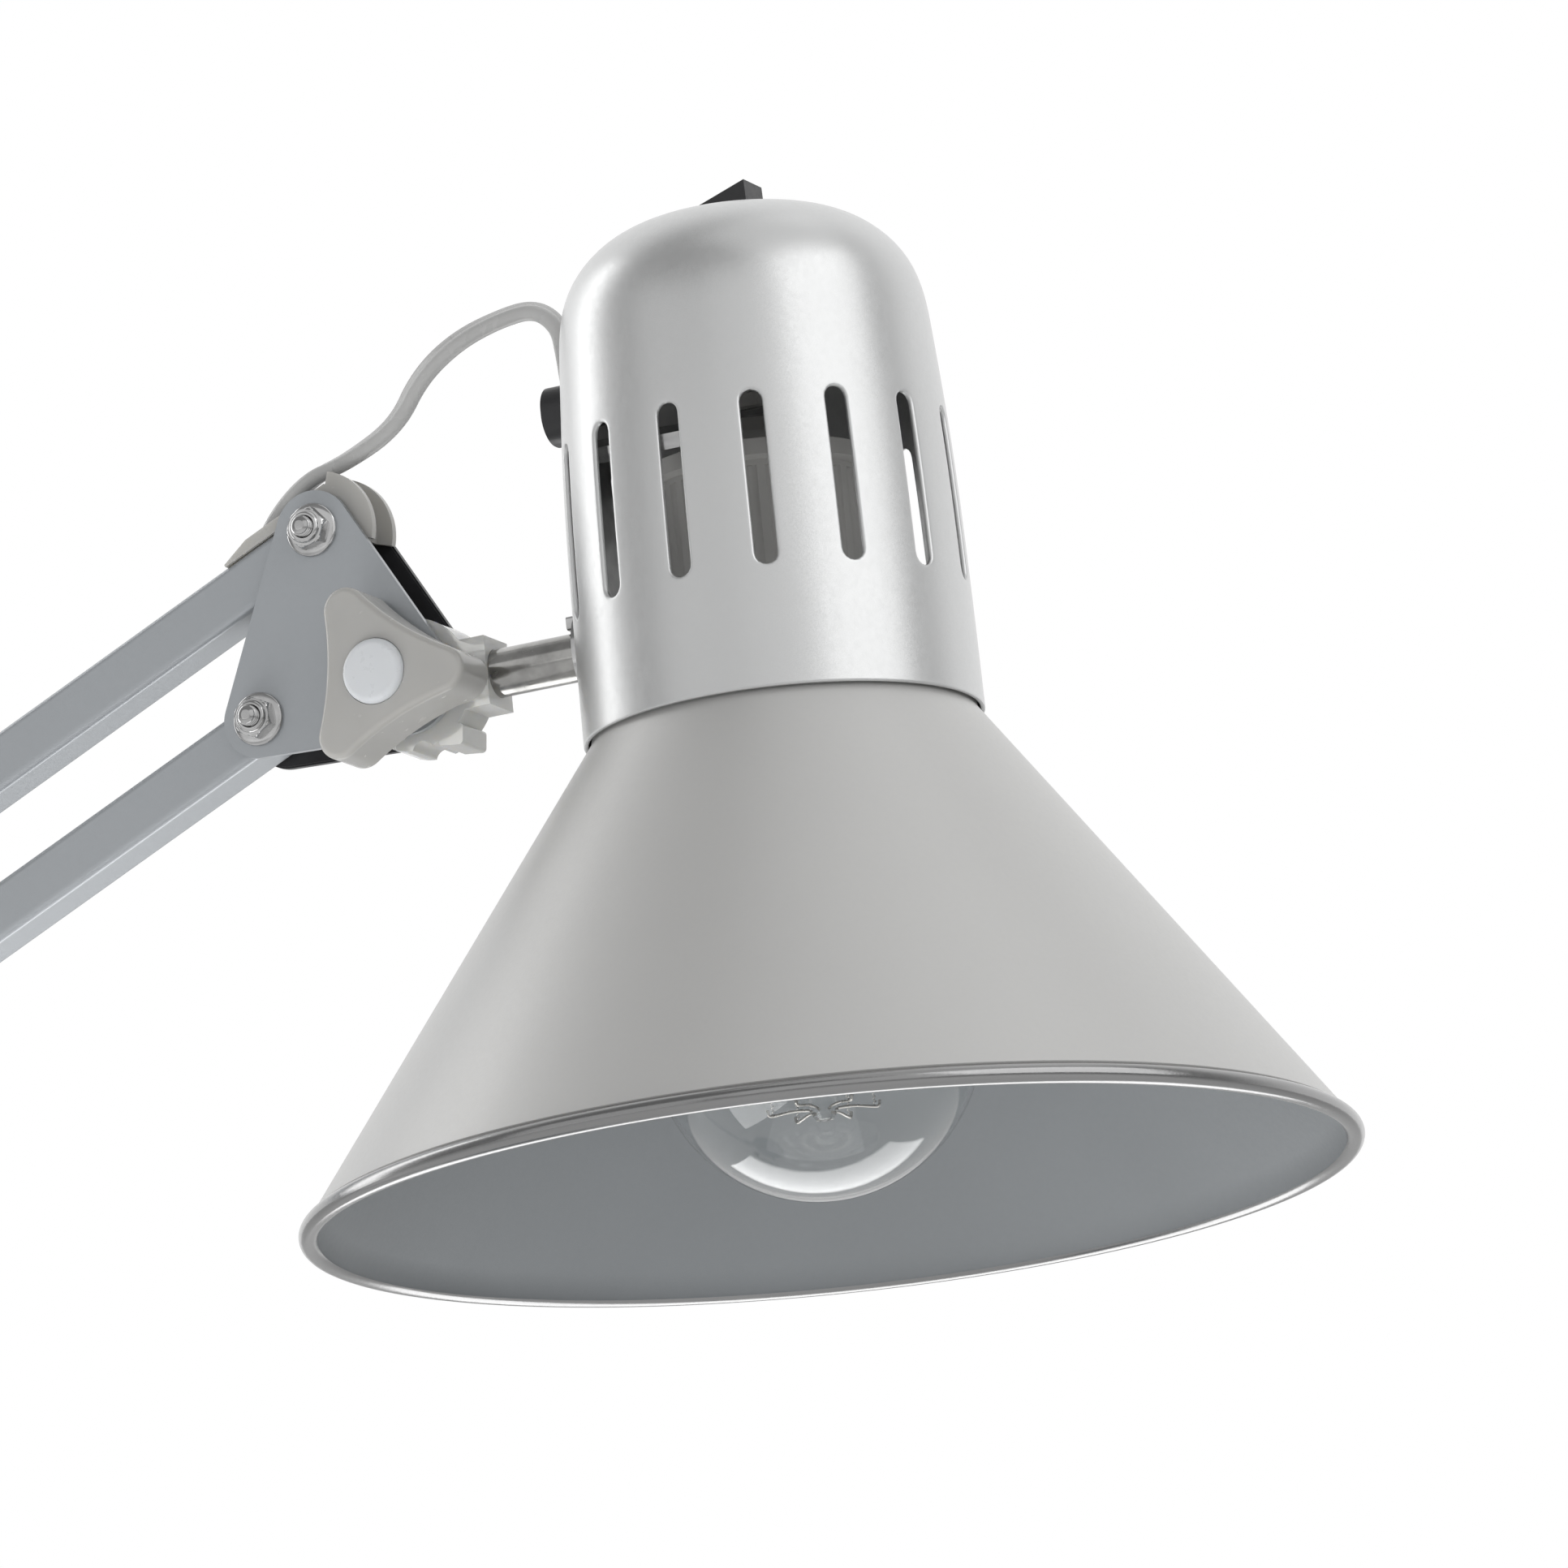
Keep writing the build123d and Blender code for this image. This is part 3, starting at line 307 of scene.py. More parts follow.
for index, (first, last) in enumerate(zip(LOOP_CUTS, LOOP_CUTS[1:])):
    line = cut_line(head_line, first * head_total, last * head_total)
    piece = lead_piece(
        f"lead_head_loop_{index + 1}", line, lambda share, a=first, b=last: head_normal(a + share * (b - a)),
        ["cord_head_loop"] if index == 0 else [],
    )
    start = line[len(line) * 3 // 5] if index == 0 else line[0]
    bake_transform(piece)
    ALL_CORDS.append(piece)

# straight through the bars
for name, start, stop, body, across, node in (
    ("lead_in_upper_bar", elbow_c + up_along * 33, elbow_c + up_along * 357, "upper_c", up_across,
     "cord_in_upper_bar"),
    ("lead_in_lower_bar", base_a + low_along * 37, base_a + low_along * 347, "lower_a", -low_across,
     "cord_in_lower_bar"),
):
    lift = 1.6 if body == "upper_c" else 0.0
    route = [start.lerp(stop, share) + across * (lift + dip) for share, dip in
             ((0, 0), (0.04, 0), (0.3, -0.5), (0.7, -0.6), (0.96, 0), (1, 0))]
    line = nurbs_line(route, 6)
    piece = lead_piece(name, line, turning(across, across), [node])
    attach(piece, body)
    ALL_CORDS.append(piece)

# loops at the elbow and over the yoke
ELBOW_LOW = [
    (13.95, 0, -29.91), (10.99, 0, -23.56), (1.05, 0, -18.82), (-9.0, 0, -15.5), (-16.5, 0, -6.5),
    (-16.0, 0, 5.0), (-8.5, 0, 12.5), (0, 0, 22.0), (0, 0, 34.0),
]
ELBOW_HIGH = [
    (0, 0, 34.0), (0, 0, 45.0), (4.0, 0, 57.0), (9.5, 0, 67.5), (17.0, 0, 77.0), (25.5, 0, 82.5),
    (35.06, 0, 82.39), (47.4, 0, 80.99), (53.46, 0, 84.49),
]
BASE_LOOP = [
    (-15.64, 0, 33.53), (-12.68, 0, 27.19), (-3.6, 0, 20.9), (4.6, 0, 14.8), (12.8, 0, 7.6),
    (17.6, 0, -1.8), (18.0, 0, -12.0),
]
for name, anchor, route, node, bodies, normals in (
    ("lead_elbow_low", elbow_a, ELBOW_LOW, "cord_elbow_low", ("lower_a", "elbow"),
     ((.9, 0, .4), (.3, 0, 1), (1, 0, 0), (.5, 0, -.8), (1, 0, 0))),
    ("lead_elbow_high", elbow_a, ELBOW_HIGH, "cord_elbow_high", ("elbow", "upper_c"),
     ((1, 0, 0), (.9, 0, -.3), (.7, 0, -.7), (0, 0, -1), (.1, 0, -1), (.5, 0, -.86))),
    ("lead_base_loop", base_a, BASE_LOOP, "cord_base_loop", ("lower_a", "swivel"),
     ((.9, 0, .4), (.4, 0, .8), (.6, 0, .7), (1, 0, .1), (1, 0, 0))),
):
    line = nurbs_line([anchor + Vector(p) for p in route], 8)
    piece = lead_piece(name, line, turning(*normals), [node])
    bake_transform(piece)
    ALL_CORDS.append(piece)

# down through the pin and the base, along the floor, round the coil and on to the plug
BASE_R, PIVOT_H = 92.0, 63.0
COIL_X, COIL_Y = -62.0, 168.0
FLOOR = 1.6
floor_route = [
    (0, 0, PIVOT_H - 12.0), (0, 0, 28.0), (0, -0.7, 5.0), (0.3, 22.0, 5.0), (-0.3, 45.0, 5.0),
    (0.2, 68.0, 5.0), (0, BASE_R - 2, 5.0), (0, BASE_R + 25, 5.0), (0.5, BASE_R + 43, 2.6),
    (3, BASE_R + 62, FLOOR), (1, BASE_R + 82, FLOOR), (-10, BASE_R + 99, FLOOR), (-28, BASE_R + 109, FLOOR),
    (-46, BASE_R + 113, FLOOR),
]
COIL_TURNS = [(35.2, 0), (29.7, 0), (24.4, 0), (24.6, 1), (30.1, 1), (35.3, 1), (28.6, 2), (34.4, 2)]
STEPS = 14
LAYER = 3.25
for turn, (radius, layer) in enumerate(COIL_TURNS):
    after = COIL_TURNS[min(turn + 1, len(COIL_TURNS) - 1)]
    for step in range(STEPS):
        share = step / STEPS
        ease = max(0.0, (share - 0.7) / 0.3)
        here = radius + (after[0] - radius) * ease + 0.25 * math.sin(5.1 * (turn * STEPS + step))
        height = FLOOR + LAYER * (layer + (after[1] - layer) * ease)
        x, y = polar(90 + 360 * share, here)
        floor_route.append((COIL_X + x, COIL_Y + y, height))
for step in range(4):
    x, y = polar(90 + 360 * step / STEPS, 34.8)
    floor_route.append((COIL_X + x, COIL_Y + y, FLOOR + 2 * LAYER))
PLUG_X, PLUG_BACK = COIL_X - 37.5, 122.0
floor_route += [
    (COIL_X - 35.6, COIL_Y - 2, 8.2), (PLUG_X + 1.2, COIL_Y - 16, 7.9), (PLUG_X, COIL_Y - 30, 7.4),
    (PLUG_X, PLUG_BACK + 6, 7.2),
]
floor_line = nurbs_line([Vector(p) for p in floor_route], 5)
floor_lead = lead_piece(
    "lead_floor", floor_line, turning((1, 0, 0.01), (0, 0, 1), (0, 0, 1), (0, 0, 1), (0, 0, 1), (0, 0, 1), (0, 0, 1),
                                      (0, 0, 1), (0, 0, 1), (0, 0, 1), (0, 0, 1), (0, 0, 1)),
    ["cord_floor", "cord_coil", "cord_tail"],
)
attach(floor_lead, "root")
ALL_CORDS.append(floor_lead)


# ---------------------------------------------------------------- materials
def node_tree(name):
    material = bpy.data.materials.new(name)
    material.use_nodes = True
    tree = material.node_tree
    return material, tree, tree.nodes["Principled BSDF"]


def noise(tree, scale, detail=3.0, stretch=(1, 1, 1)):
    """Object-space noise, scale in cycles per metre."""
    place_node = tree.nodes.new("ShaderNodeTexCoord")
    mapping = tree.nodes.new("ShaderNodeMapping")
    mapping.inputs["Scale"].default_value = stretch
    texture = tree.nodes.new("ShaderNodeTexNoise")
    texture.inputs["Scale"].default_value = scale
    texture.inputs["Detail"].default_value = detail
    tree.links.new(place_node.outputs["Object"], mapping.inputs["Vector"])
    tree.links.new(mapping.outputs["Vector"], texture.inputs["Vector"])
    return texture


def ramp(tree, source, stops):
    """Colour ramp from a texture's value: stops are (position, colour)."""
    colours = tree.nodes.new("ShaderNodeValToRGB")
    while len(colours.color_ramp.elements) < len(stops):
        colours.color_ramp.elements.new(0.5)
    for element, (spot, colour) in zip(colours.color_ramp.elements, stops):
        element.position = spot
        element.color = (*colour, 1) if len(colour) == 3 else colour
    tree.links.new(source, colours.inputs["Fac"])
    return colours


def span(tree, source, low, high, from_low=0.3, from_high=0.7):
    """Map a texture's value to a range."""
    node = tree.nodes.new("ShaderNodeMapRange")
    node.inputs["From Min"].default_value = from_low
    node.inputs["From Max"].default_value = from_high
    node.inputs["To Min"].default_value = low
    node.inputs["To Max"].default_value = high
    tree.links.new(source, node.inputs["Value"])
    return node.outputs["Result"]


def add_bump(tree, shader, source, strength, distance):
    node = tree.nodes.new("ShaderNodeBump")
    node.inputs["Strength"].default_value = strength
    node.inputs["Distance"].default_value = distance
    tree.links.new(source, node.inputs["Height"])
    tree.links.new(node.outputs["Normal"], shader.inputs["Normal"])
    return node


def add_flakes(tree, shader, scale, spread):
    """Metal flakes: each small cell leans the normal its own way."""
    place_node = tree.nodes.new("ShaderNodeTexCoord")
    cells = tree.nodes.new("ShaderNodeTexVoronoi")
    cells.inputs["Scale"].default_value = scale
    tree.links.new(place_node.outputs["Object"], cells.inputs["Vector"])
    centred = tree.nodes.new("ShaderNodeVectorMath")
    centred.operation = "SUBTRACT"
    centred.inputs[1].default_value = (0.5, 0.5, 0.5)
    tree.links.new(cells.outputs["Color"], centred.inputs[0])
    scaled = tree.nodes.new("ShaderNodeVectorMath")
    scaled.operation = "SCALE"
    scaled.inputs["Scale"].default_value = spread
    tree.links.new(centred.outputs["Vector"], scaled.inputs[0])
    surface = tree.nodes.new("ShaderNodeNewGeometry")
    total = tree.nodes.new("ShaderNodeVectorMath")
    total.operation = "ADD"
    tree.links.new(surface.outputs["Normal"], total.inputs[0])
    tree.links.new(scaled.outputs["Vector"], total.inputs[1])
    unit = tree.nodes.new("ShaderNodeVectorMath")
    unit.operation = "NORMALIZE"
    tree.links.new(total.outputs["Vector"], unit.inputs[0])
    tree.links.new(unit.outputs["Vector"], shader.inputs["Normal"])


def metal_paint(name, colour, metallic, roughness, flake=3500, lean=0.16, coat=0.25, wander=0.04):
    """Satin metallic paint: flakes, a faint cloud in its tone and an even clear coat."""
    material, tree, shader = node_tree(name)
    cloud = noise(tree, 22, 3)
    tone = ramp(tree, cloud.outputs["Fac"], [
        (0.3, [c * (1 - wander) for c in colour]), (0.7, [min(1, c * (1 + wander)) for c in colour]),
    ])
    tree.links.new(tone.outputs["Color"], shader.inputs["Base Color"])
    fine = noise(tree, 900, 2)
    sheen = span(tree, fine.outputs["Fac"], roughness - 0.03, roughness + 0.03)
    tree.links.new(sheen, shader.inputs["Roughness"])
    shader.inputs["Metallic"].default_value = metallic
    shader.inputs["Coat Weight"].default_value = coat
    shader.inputs["Coat Roughness"].default_value = 0.22
    add_flakes(tree, shader, flake, lean)
    return material


def bare_metal(name, colour, roughness, grain=(1, 1, 1), scale=500, spread=0.08, depth=0.00003, stain=0.12):
    """Plated or drawn metal: tone and roughness wander, with a fine surface grain."""
    material, tree, shader = node_tree(name)
    cloud = noise(tree, 160, 4)
    tone = ramp(tree, cloud.outputs["Fac"], [
        (0.32, [c * (1 - stain) for c in colour]), (0.62, colour), (0.8, [min(1, c * 1.06) for c in colour]),
    ])
    tree.links.new(tone.outputs["Color"], shader.inputs["Base Color"])
    fine = noise(tree, scale, 3, grain)
    sheen = span(tree, fine.outputs["Fac"], roughness - spread, roughness + spread)
    tree.links.new(sheen, shader.inputs["Roughness"])
    shader.inputs["Metallic"].default_value = 1.0
    add_bump(tree, shader, fine.outputs["Fac"], 0.25, depth)
    return material


def moulding(name, colour, roughness, grain=700, depth=0.00006, milky=0.0, clear=0.0, specular=0.5, wander=0.05):
    """Moulded plastic or rubber: fine texture and a faint change of tone; milky lets light in under the skin."""
    material, tree, shader = node_tree(name)
    cloud = noise(tree, 45, 3)
    tone = ramp(tree, cloud.outputs["Fac"], [
        (0.3, [c * (1 - wander) for c in colour]), (0.7, [min(1, c * (1 + wander)) for c in colour]),
    ])
    tree.links.new(tone.outputs["Color"], shader.inputs["Base Color"])
    fine = noise(tree, grain, 4)
    sheen = span(tree, fine.outputs["Fac"], roughness - 0.05, roughness + 0.06)
    tree.links.new(sheen, shader.inputs["Roughness"])
    add_bump(tree, shader, fine.outputs["Fac"], 0.3, depth)
    shader.inputs["Specular IOR Level"].default_value = specular
    if milky:
        shader.inputs["Subsurface Weight"].default_value = milky
        shader.inputs["Subsurface Radius"].default_value = (0.004, 0.0037, 0.003)
        shader.inputs["Subsurface Scale"].default_value = 1.0
    if clear:
        shader.inputs["Transmission Weight"].default_value = clear
    return material


def clear_glass(name):
    material, tree, shader = node_tree(name)
    cloud = noise(tree, 30, 2)
    tree.links.new(span(tree, cloud.outputs["Fac"], 0.0, 0.012), shader.inputs["Roughness"])
    shader.inputs["Base Color"].default_value = (0.97, 0.98, 0.98, 1)
    shader.inputs["Transmission Weight"].default_value = 1.0
    shader.inputs["IOR"].default_value = 1.45
    return material


MATERIALS = {
    "arm_paint": metal_paint("arm_paint", (0.385, 0.405, 0.425), 0.55, 0.4, 6000, 0.05, 0.35, 0.02),
    "cap_paint": metal_paint("cap_paint", (0.62, 0.625, 0.625), 0.8, 0.36, 6500, 0.06, 0.3, 0.015),
    "shade_paint": metal_paint("shade_paint", (0.56, 0.558, 0.549), 0.5, 0.44, 6000, 0.05, 0.2, 0.015),
    "shade_inside": metal_paint("shade_inside", (0.225, 0.238, 0.248), 0.35, 0.5, 6000, 0.05, 0.1, 0.03),
    # dark mirror metal for the rolled rim: its dark colour is painted shade, standing in for the dark band along the
    # bead
    "rim_painted_shade_metal": metal_paint("rim_painted_shade_metal", (0.31, 0.31, 0.31), 1.0, 0.2, 6000, 0.03, 0.1, 0.02),
    "zinc": bare_metal("zinc", (0.6, 0.6, 0.6), 0.13, (1, 1, 1), 300, 0.04, 0.000004, 0.3),
    "rod_steel": bare_metal("rod_steel", (0.5, 0.495, 0.48), 0.18, (1, 1, 1), 420, 0.1, 0.00003, 0.4),
    "spring_steel": bare_metal("spring_steel", (0.62, 0.62, 0.61), 0.26),
    "iron": bare_metal("iron", (0.17, 0.17, 0.175), 0.62, (1, 1, 1), 260, 0.1, 0.0003),
    "pad_rubber": moulding("pad_rubber", (0.045, 0.045, 0.047), 0.75, 500, 0.0001),
    "black_plastic": moulding("black_plastic", (0.022, 0.022, 0.024), 0.38, 900, 0.00004),
    "grey_plastic": moulding("grey_plastic", (0.42, 0.415, 0.4), 0.22, 300, 0.00001, 0.2),
    "knob_disc": moulding("knob_disc", (0.65, 0.67, 0.69), 0.3, 600, 0.00001, 0.1),
    "clear_plastic": moulding("clear_plastic", (0.93, 0.93, 0.9), 0.1, 200, 0.00002, 0.4, 0.5),
    "nylon": moulding("nylon", (0.8, 0.79, 0.74), 0.45),
    "bulb_glass": clear_glass("bulb_glass"),
    "bulb_wire": bare_metal("bulb_wire", (0.5, 0.48, 0.45), 0.3),
    "brass": bare_metal("brass", (0.74, 0.72, 0.66), 0.28),
    "holder": moulding("holder", (0.5, 0.495, 0.48), 0.42, 500, 0.00005),
    "cord_grey": moulding("cord_grey", (0.47, 0.47, 0.465), 0.26, 220, 0.00001),
    "lead_white": moulding("lead_white", (0.8, 0.8, 0.78), 0.35),
}


def dress(piece, slot, *materials):
    """Gives a piece the listed materials, or the record's slot as its material when none are listed."""
    piece.data.materials.clear()
    for material in materials or (slot,):
        piece.data.materials.append(MATERIALS[material])
    return piece


for sub in frame["record"]["subparts"]:
    node = frame["nodes"][sub["node"]]
    node.data.materials.clear()
    node.data.materials.append(MATERIALS[sub["material_slot"]])
for piece in ALL_CORDS:
    dress(piece, "cord_grey")


# ---------------------------------------------------------------- shade
SHADE_R, NECK_R = 96.4, 35.2
BEAD_R = 1.8
slope = Vector((SHADE_R - BEAD_R - NECK_R, BEAD_R - 86.4)).normalized()
cone_normal = Vector((-slope.y, slope.x))
bead_top = math.degrees(math.atan2(cone_normal.y, cone_normal.x))
bead_centre = Vector((SHADE_R - BEAD_R, BEAD_R))
WALL = 0.6
outer_end = bead_centre + cone_normal * (BEAD_R * 0.55) - slope * (BEAD_R * 0.84 + 0.75)
groove = bead_centre + cone_normal * (BEAD_R * 0.1) - slope * (BEAD_R + 0.2)
outside = [(NECK_R - 0.1, 97.0), (NECK_R, 96.8), (NECK_R, 87.4), (NECK_R + 0.15, 86.9), (NECK_R + 0.6, 86.2)]
for share in (0.02, 0.04, 0.1, 0.2, 0.3, 0.4, 0.5, 0.6, 0.7, 0.8, 0.9, 0.96, 1.0):
    start = Vector((NECK_R + 0.6, 86.2))
    outside.append(tuple(start.lerp(outer_end, share)))
outside += [tuple(outer_end - cone_normal * 0.15 + slope * 0.12), tuple(outer_end - cone_normal * 0.5 + slope * 0.2),
            tuple(groove)]
bead = []
for turn in range(-76, 200, 12):
    x, z = polar(bead_top - turn, BEAD_R)
    bead.append((bead_centre.x + x, bead_centre.y + z))
inner_foot = bead_centre - cone_normal * (BEAD_R * 0.55) + slope * -3.4
inside = [(bead[-1][0] - 0.1, bead[-1][1] + 0.5), (inner_foot.x, inner_foot.y)]
for share in (0.02, 0.06, 0.15, 0.3, 0.5, 0.7, 0.9, 1.0):
    inside.append(tuple(inner_foot.lerp(Vector((NECK_R - WALL, 86.0)), share)))
inside += [(NECK_R - WALL, 87.0), (NECK_R - WALL, 96.8), (NECK_R - 0.1, 97.0)]
shade_outer = lathe("shade_outer", outside, head_point, 256)
rolled_rim = lathe("shade_rim", [outside[-1], *bead], head_point, 256)
shade_inner = lathe("shade_inner", [bead[-1], *inside], head_point, 256)
dress(shade_outer, "shade_paint")
# the rim's second material is painted shade: a darker metal in place of the dark band along the bead
dress(rolled_rim, "shade_paint", "rim_painted_shade_metal")
dress(shade_inner, "shade_paint", "shade_inside")
cone = fuse("shade", [shade_outer, rolled_rim, shade_inner])
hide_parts("shade_cone")
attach(cone, "head")


# ---------------------------------------------------------------- cap with its slots
CAP_SIDE = [
    (36.6, 87.0), (36.3, 111.0), (35.3, 142.0), (34.2, 158.0), (31.6, 171.0), (23.5, 179.6), (0.0, 183.5),
]


def clamped_spline(points, first, last, count):
    """Points of the cubic spline through the given ones, with the tangents at its ends."""
    knots = np.array(points, float)
    steps = np.linalg.norm(np.diff(knots, axis=0), axis=1)
    spots = np.concatenate([[0], np.cumsum(steps)])
    size = len(knots)
    left, right = np.zeros((size, size)), np.zeros((size, 2))
    left[0, 0] = left[-1, -1] = 1
    right[0], right[-1] = first, last
    for i in range(1, size - 1):
        left[i, i - 1], left[i, i + 1] = 1 / steps[i - 1], 1 / steps[i]
        left[i, i] = 2 * (1 / steps[i - 1] + 1 / steps[i])
        right[i] = 3 * ((knots[i] - knots[i - 1]) / steps[i - 1] ** 2 + (knots[i + 1] - knots[i]) / steps[i] ** 2)
    slopes = np.linalg.solve(left, right)
    found = []
    for spot in np.linspace(0, spots[-1], count):
        i = min(np.searchsorted(spots, spot, side="right") - 1, size - 2)
        t = (spot - spots[i]) / steps[i]
        found.append(
            (2 * t**3 - 3 * t**2 + 1) * knots[i] + (t**3 - 2 * t**2 + t) * steps[i] * slopes[i]
            + (3 * t**2 - 2 * t**3) * knots[i + 1] + (t**3 - t**2) * steps[i] * slopes[i + 1]
        )
    return np.array(found)


cap_curve = clamped_spline(CAP_SIDE, (-0.01, 1.0), (-1.0, 0.0), 400)
cap_slope = np.gradient(cap_curve, axis=0)
cap_slope /= np.linalg.norm(cap_slope, axis=1)[:, None]
cap_length = np.concatenate([[0], np.cumsum(np.linalg.norm(np.diff(cap_curve, axis=0), axis=1))])


def cap_spot(length, inset=0.0):
    """(radius, height) on the cap's side at a length from its lower edge, moved in by inset."""
    radius, height = (np.interp(length, cap_length, cap_curve[:, i]) for i in (0, 1))
    across, along = (np.interp(length, cap_length, cap_slope[:, i]) for i in (0, 1))
    return radius - along * inset, height + across * inset


def length_at(height):
    return np.interp(height, cap_curve[:, 1], cap_length)


SLOTS, SLOT_HALF = 14, 2.1
SLOT_LOW, SLOT_HIGH = 109.6, 142.2
BAND_LOW, BAND_HIGH = 102.6, 149.4
SLOT_TURN = math.radians(-2.5)
CAP_T = 0.9
ENDS, SIDES = 8, 18
slot_radius = 35.9
sector = 2 * math.pi / SLOTS


def band_border():
    """Border of one sector of the slot band, as (turn, height), round from its lower left corner."""
    border = []
    for i in range(ENDS):
        border.append((-sector / 2 + sector * i / ENDS, BAND_LOW))
    for i in range(SIDES):
        border.append((sector / 2, BAND_LOW + (BAND_HIGH - BAND_LOW) * i / SIDES))
    for i in range(ENDS):
        border.append((sector / 2 - sector * i / ENDS, BAND_HIGH))
    for i in range(SIDES):
        border.append((-sector / 2, BAND_HIGH - (BAND_HIGH - BAND_LOW) * i / SIDES))
    return border


def slot_border(grow):
    """The slot's outline, grown all round, point for point with band_border."""
    reach = SLOT_HALF + grow
    low, high = SLOT_LOW + SLOT_HALF, SLOT_HIGH - SLOT_HALF
    outline = []
    for i in range(ENDS):
        x, z = polar(180 + 180 * i / ENDS, reach)
        outline.append((x, low + z))
    for i in range(SIDES):
        outline.append((reach, low + (high - low) * i / SIDES))
    for i in range(ENDS):
        x, z = polar(180 * i / ENDS, reach)
        outline.append((x, high + z))
    for i in range(SIDES):
        outline.append((-reach, high - (high - low) * i / SIDES))
    return [(x / slot_radius, z) for x, z in outline]


def cap_place(turn, height, inset):
    radius, level = cap_spot(length_at(height), inset)
    return head_point(-radius * math.cos(turn), -radius * math.sin(turn), level)


def mixed(first, second, share):
    return [(a[0] + (b[0] - a[0]) * share, a[1] + (b[1] - a[1]) * share) for a, b in zip(first, second)]


cap_points, cap_faces = [], []


def add_rings(rings, wrap_rows=False):
    """Adds a strip of closed rings of equal count to the cap."""
    first = len(cap_points)
    for ring in rings:
        cap_points.extend(ring)
    cap_faces.extend(grid_faces(len(rings), len(rings[0]), True, wrap_rows, first))


border = band_border()
edge_far = slot_border(0.75)
for index in range(SLOTS):
    turn = (index + 0.5) * sector + SLOT_TURN
    rings = []
    for outline, inset in (
        (border, CAP_T), (mixed(slot_border(0.1), border, 0.5), CAP_T), (slot_border(0.1), CAP_T),
        (slot_border(0), CAP_T - 0.12), (slot_border(0), 0.5), (slot_border(0.05), 0.28), (slot_border(0.2), 0.1),
        (slot_border(0.42), 0.02), (edge_far, 0.0), (mixed(edge_far, border, 0.1), 0),
        (mixed(edge_far, border, 0.3), 0), (mixed(edge_far, border, 0.6), 0), (border, 0),
    ):
        rings.append([cap_place(turn + t, h, inset) for t, h in outline])
    add_rings(rings)

columns = SLOTS * ENDS
turns = [2 * math.pi * i / columns + SLOT_TURN for i in range(columns)]


def cap_ring(length, inset):
    radius, level = cap_spot(length, inset)
    return [head_point(-radius * math.cos(t), -radius * math.sin(t), level) for t in turns]


low_length, high_length = length_at(BAND_LOW), length_at(BAND_HIGH)
crown_radius = 15.5
crown_length = float(np.interp(-crown_radius, -cap_curve[:, 0], cap_length))
lower = [cap_ring(low_length * s, 0) for s in (1, 0.8, 0.6, 0.4, 0.2, 0.08, 0.03)]
lip = []
for grow, drop in ((0.0, 0.35), (-0.12, 0.1), (-0.4, -0.02), (-0.75, 0.1), (-CAP_T, 0.4)):
    lip.append([head_point(-(36.6 + grow) * math.cos(t), -(36.6 + grow) * math.sin(t), 87.0 + drop) for t in turns])
inner = [cap_ring(low_length * s, CAP_T) for s in (0.03, 0.2, 0.6, 1)]
add_rings(lower + lip + inner)


def crown_hole(reach, inset):
    """Ring between the rectangular switch opening at reach 0 and the crown's circle at reach 1."""
    ring = []
    radius, level = cap_spot(crown_length, inset)
    peak = cap_spot(cap_length[-1], inset)[1]
    for t in turns:
        c, s = math.cos(t), math.sin(t)
        square = min(6.8 / max(abs(c), 1e-6), 5.8 / max(abs(s), 1e-6))
        here = square + (radius - square) * reach
        height = peak - (peak - level) * (here / radius) ** 2
        ring.append(head_point(-here * c, -here * s, height))
    return ring


upper_steps = np.linspace(0, 1, 26)
upper = [cap_ring(high_length + (crown_length - high_length) * s, 0) for s in upper_steps]
upper += [crown_hole(s, 0) for s in (0.6, 0.3, 0.0)]
upper += [crown_hole(s, CAP_T) for s in (0.0, 0.3, 0.6)]
upper += [cap_ring(high_length + (crown_length - high_length) * s, CAP_T) for s in upper_steps[::-1]]
add_rings(upper)
cap = new_mesh("cap", cap_points, cap_faces, 35)
dress(cap, "cap_paint")
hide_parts("cap_shell")
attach(cap, "head")


# ---------------------------------------------------------------- bulb
BULB_R = 30.0


def bulb_side(inset):
    """(radius, height) points from the bulb's tip to its neck."""
    radius = BULB_R - inset
    side = [(radius * math.cos(math.radians(a)), BULB_R + radius * math.sin(math.radians(a)))
            for a in range(-90, 33, 4)]
    start = Vector(side[-1])
    end = Vector((13.0 - inset, 82.0))
    waist = Vector((17.2 - inset, 62.0))
    heading = Vector((-0.53, 0.85))
    for share in (0.12, 0.25, 0.4, 0.55, 0.7, 0.85, 1.0):
        side.append(tuple(start.lerp(start + heading * 11.2, share).lerp(waist, share)))
    for share in (0.15, 0.35, 0.6, 0.8, 1.0):
        bend = waist + Vector((-3.1, 9.0))
        a, b = waist.lerp(bend, share), bend.lerp(end, share)
        side.append(tuple(a.lerp(b, share)))
    side[0] = (0.0, side[0][1])
    return side


glass = lathe("bulb", bulb_side(0.0) + bulb_side(0.7)[::-1], head_point, 128, False, 60)
dress(glass, "bulb_glass")
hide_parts("bulb_glass")
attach(glass, "head")

STEM_SIDE = [
    (0, 81.6), (10.5, 81.6), (8.0, 79.5), (4.6, 75), (3.4, 70), (3.1, 50), (3.4, 38), (2.2, 35), (1.9, 20),
    (2.6, 18.4), (2.7, 16.4), (1.6, 14.6), (0, 14.2),
]
stem = lathe("bulb_stem", STEM_SIDE, head_point, 48)
dress(stem, "bulb_glass")
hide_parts("bulb_mount")
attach(stem, "head")


def wire(name, points, radius, slot, fineness=6, count=8):
    line = nurbs_line(points, fineness)
    piece = sweep(name, line, round_section(radius, count), lambda share: (0.31, 0.92, 0.17))
    return dress(piece, slot)


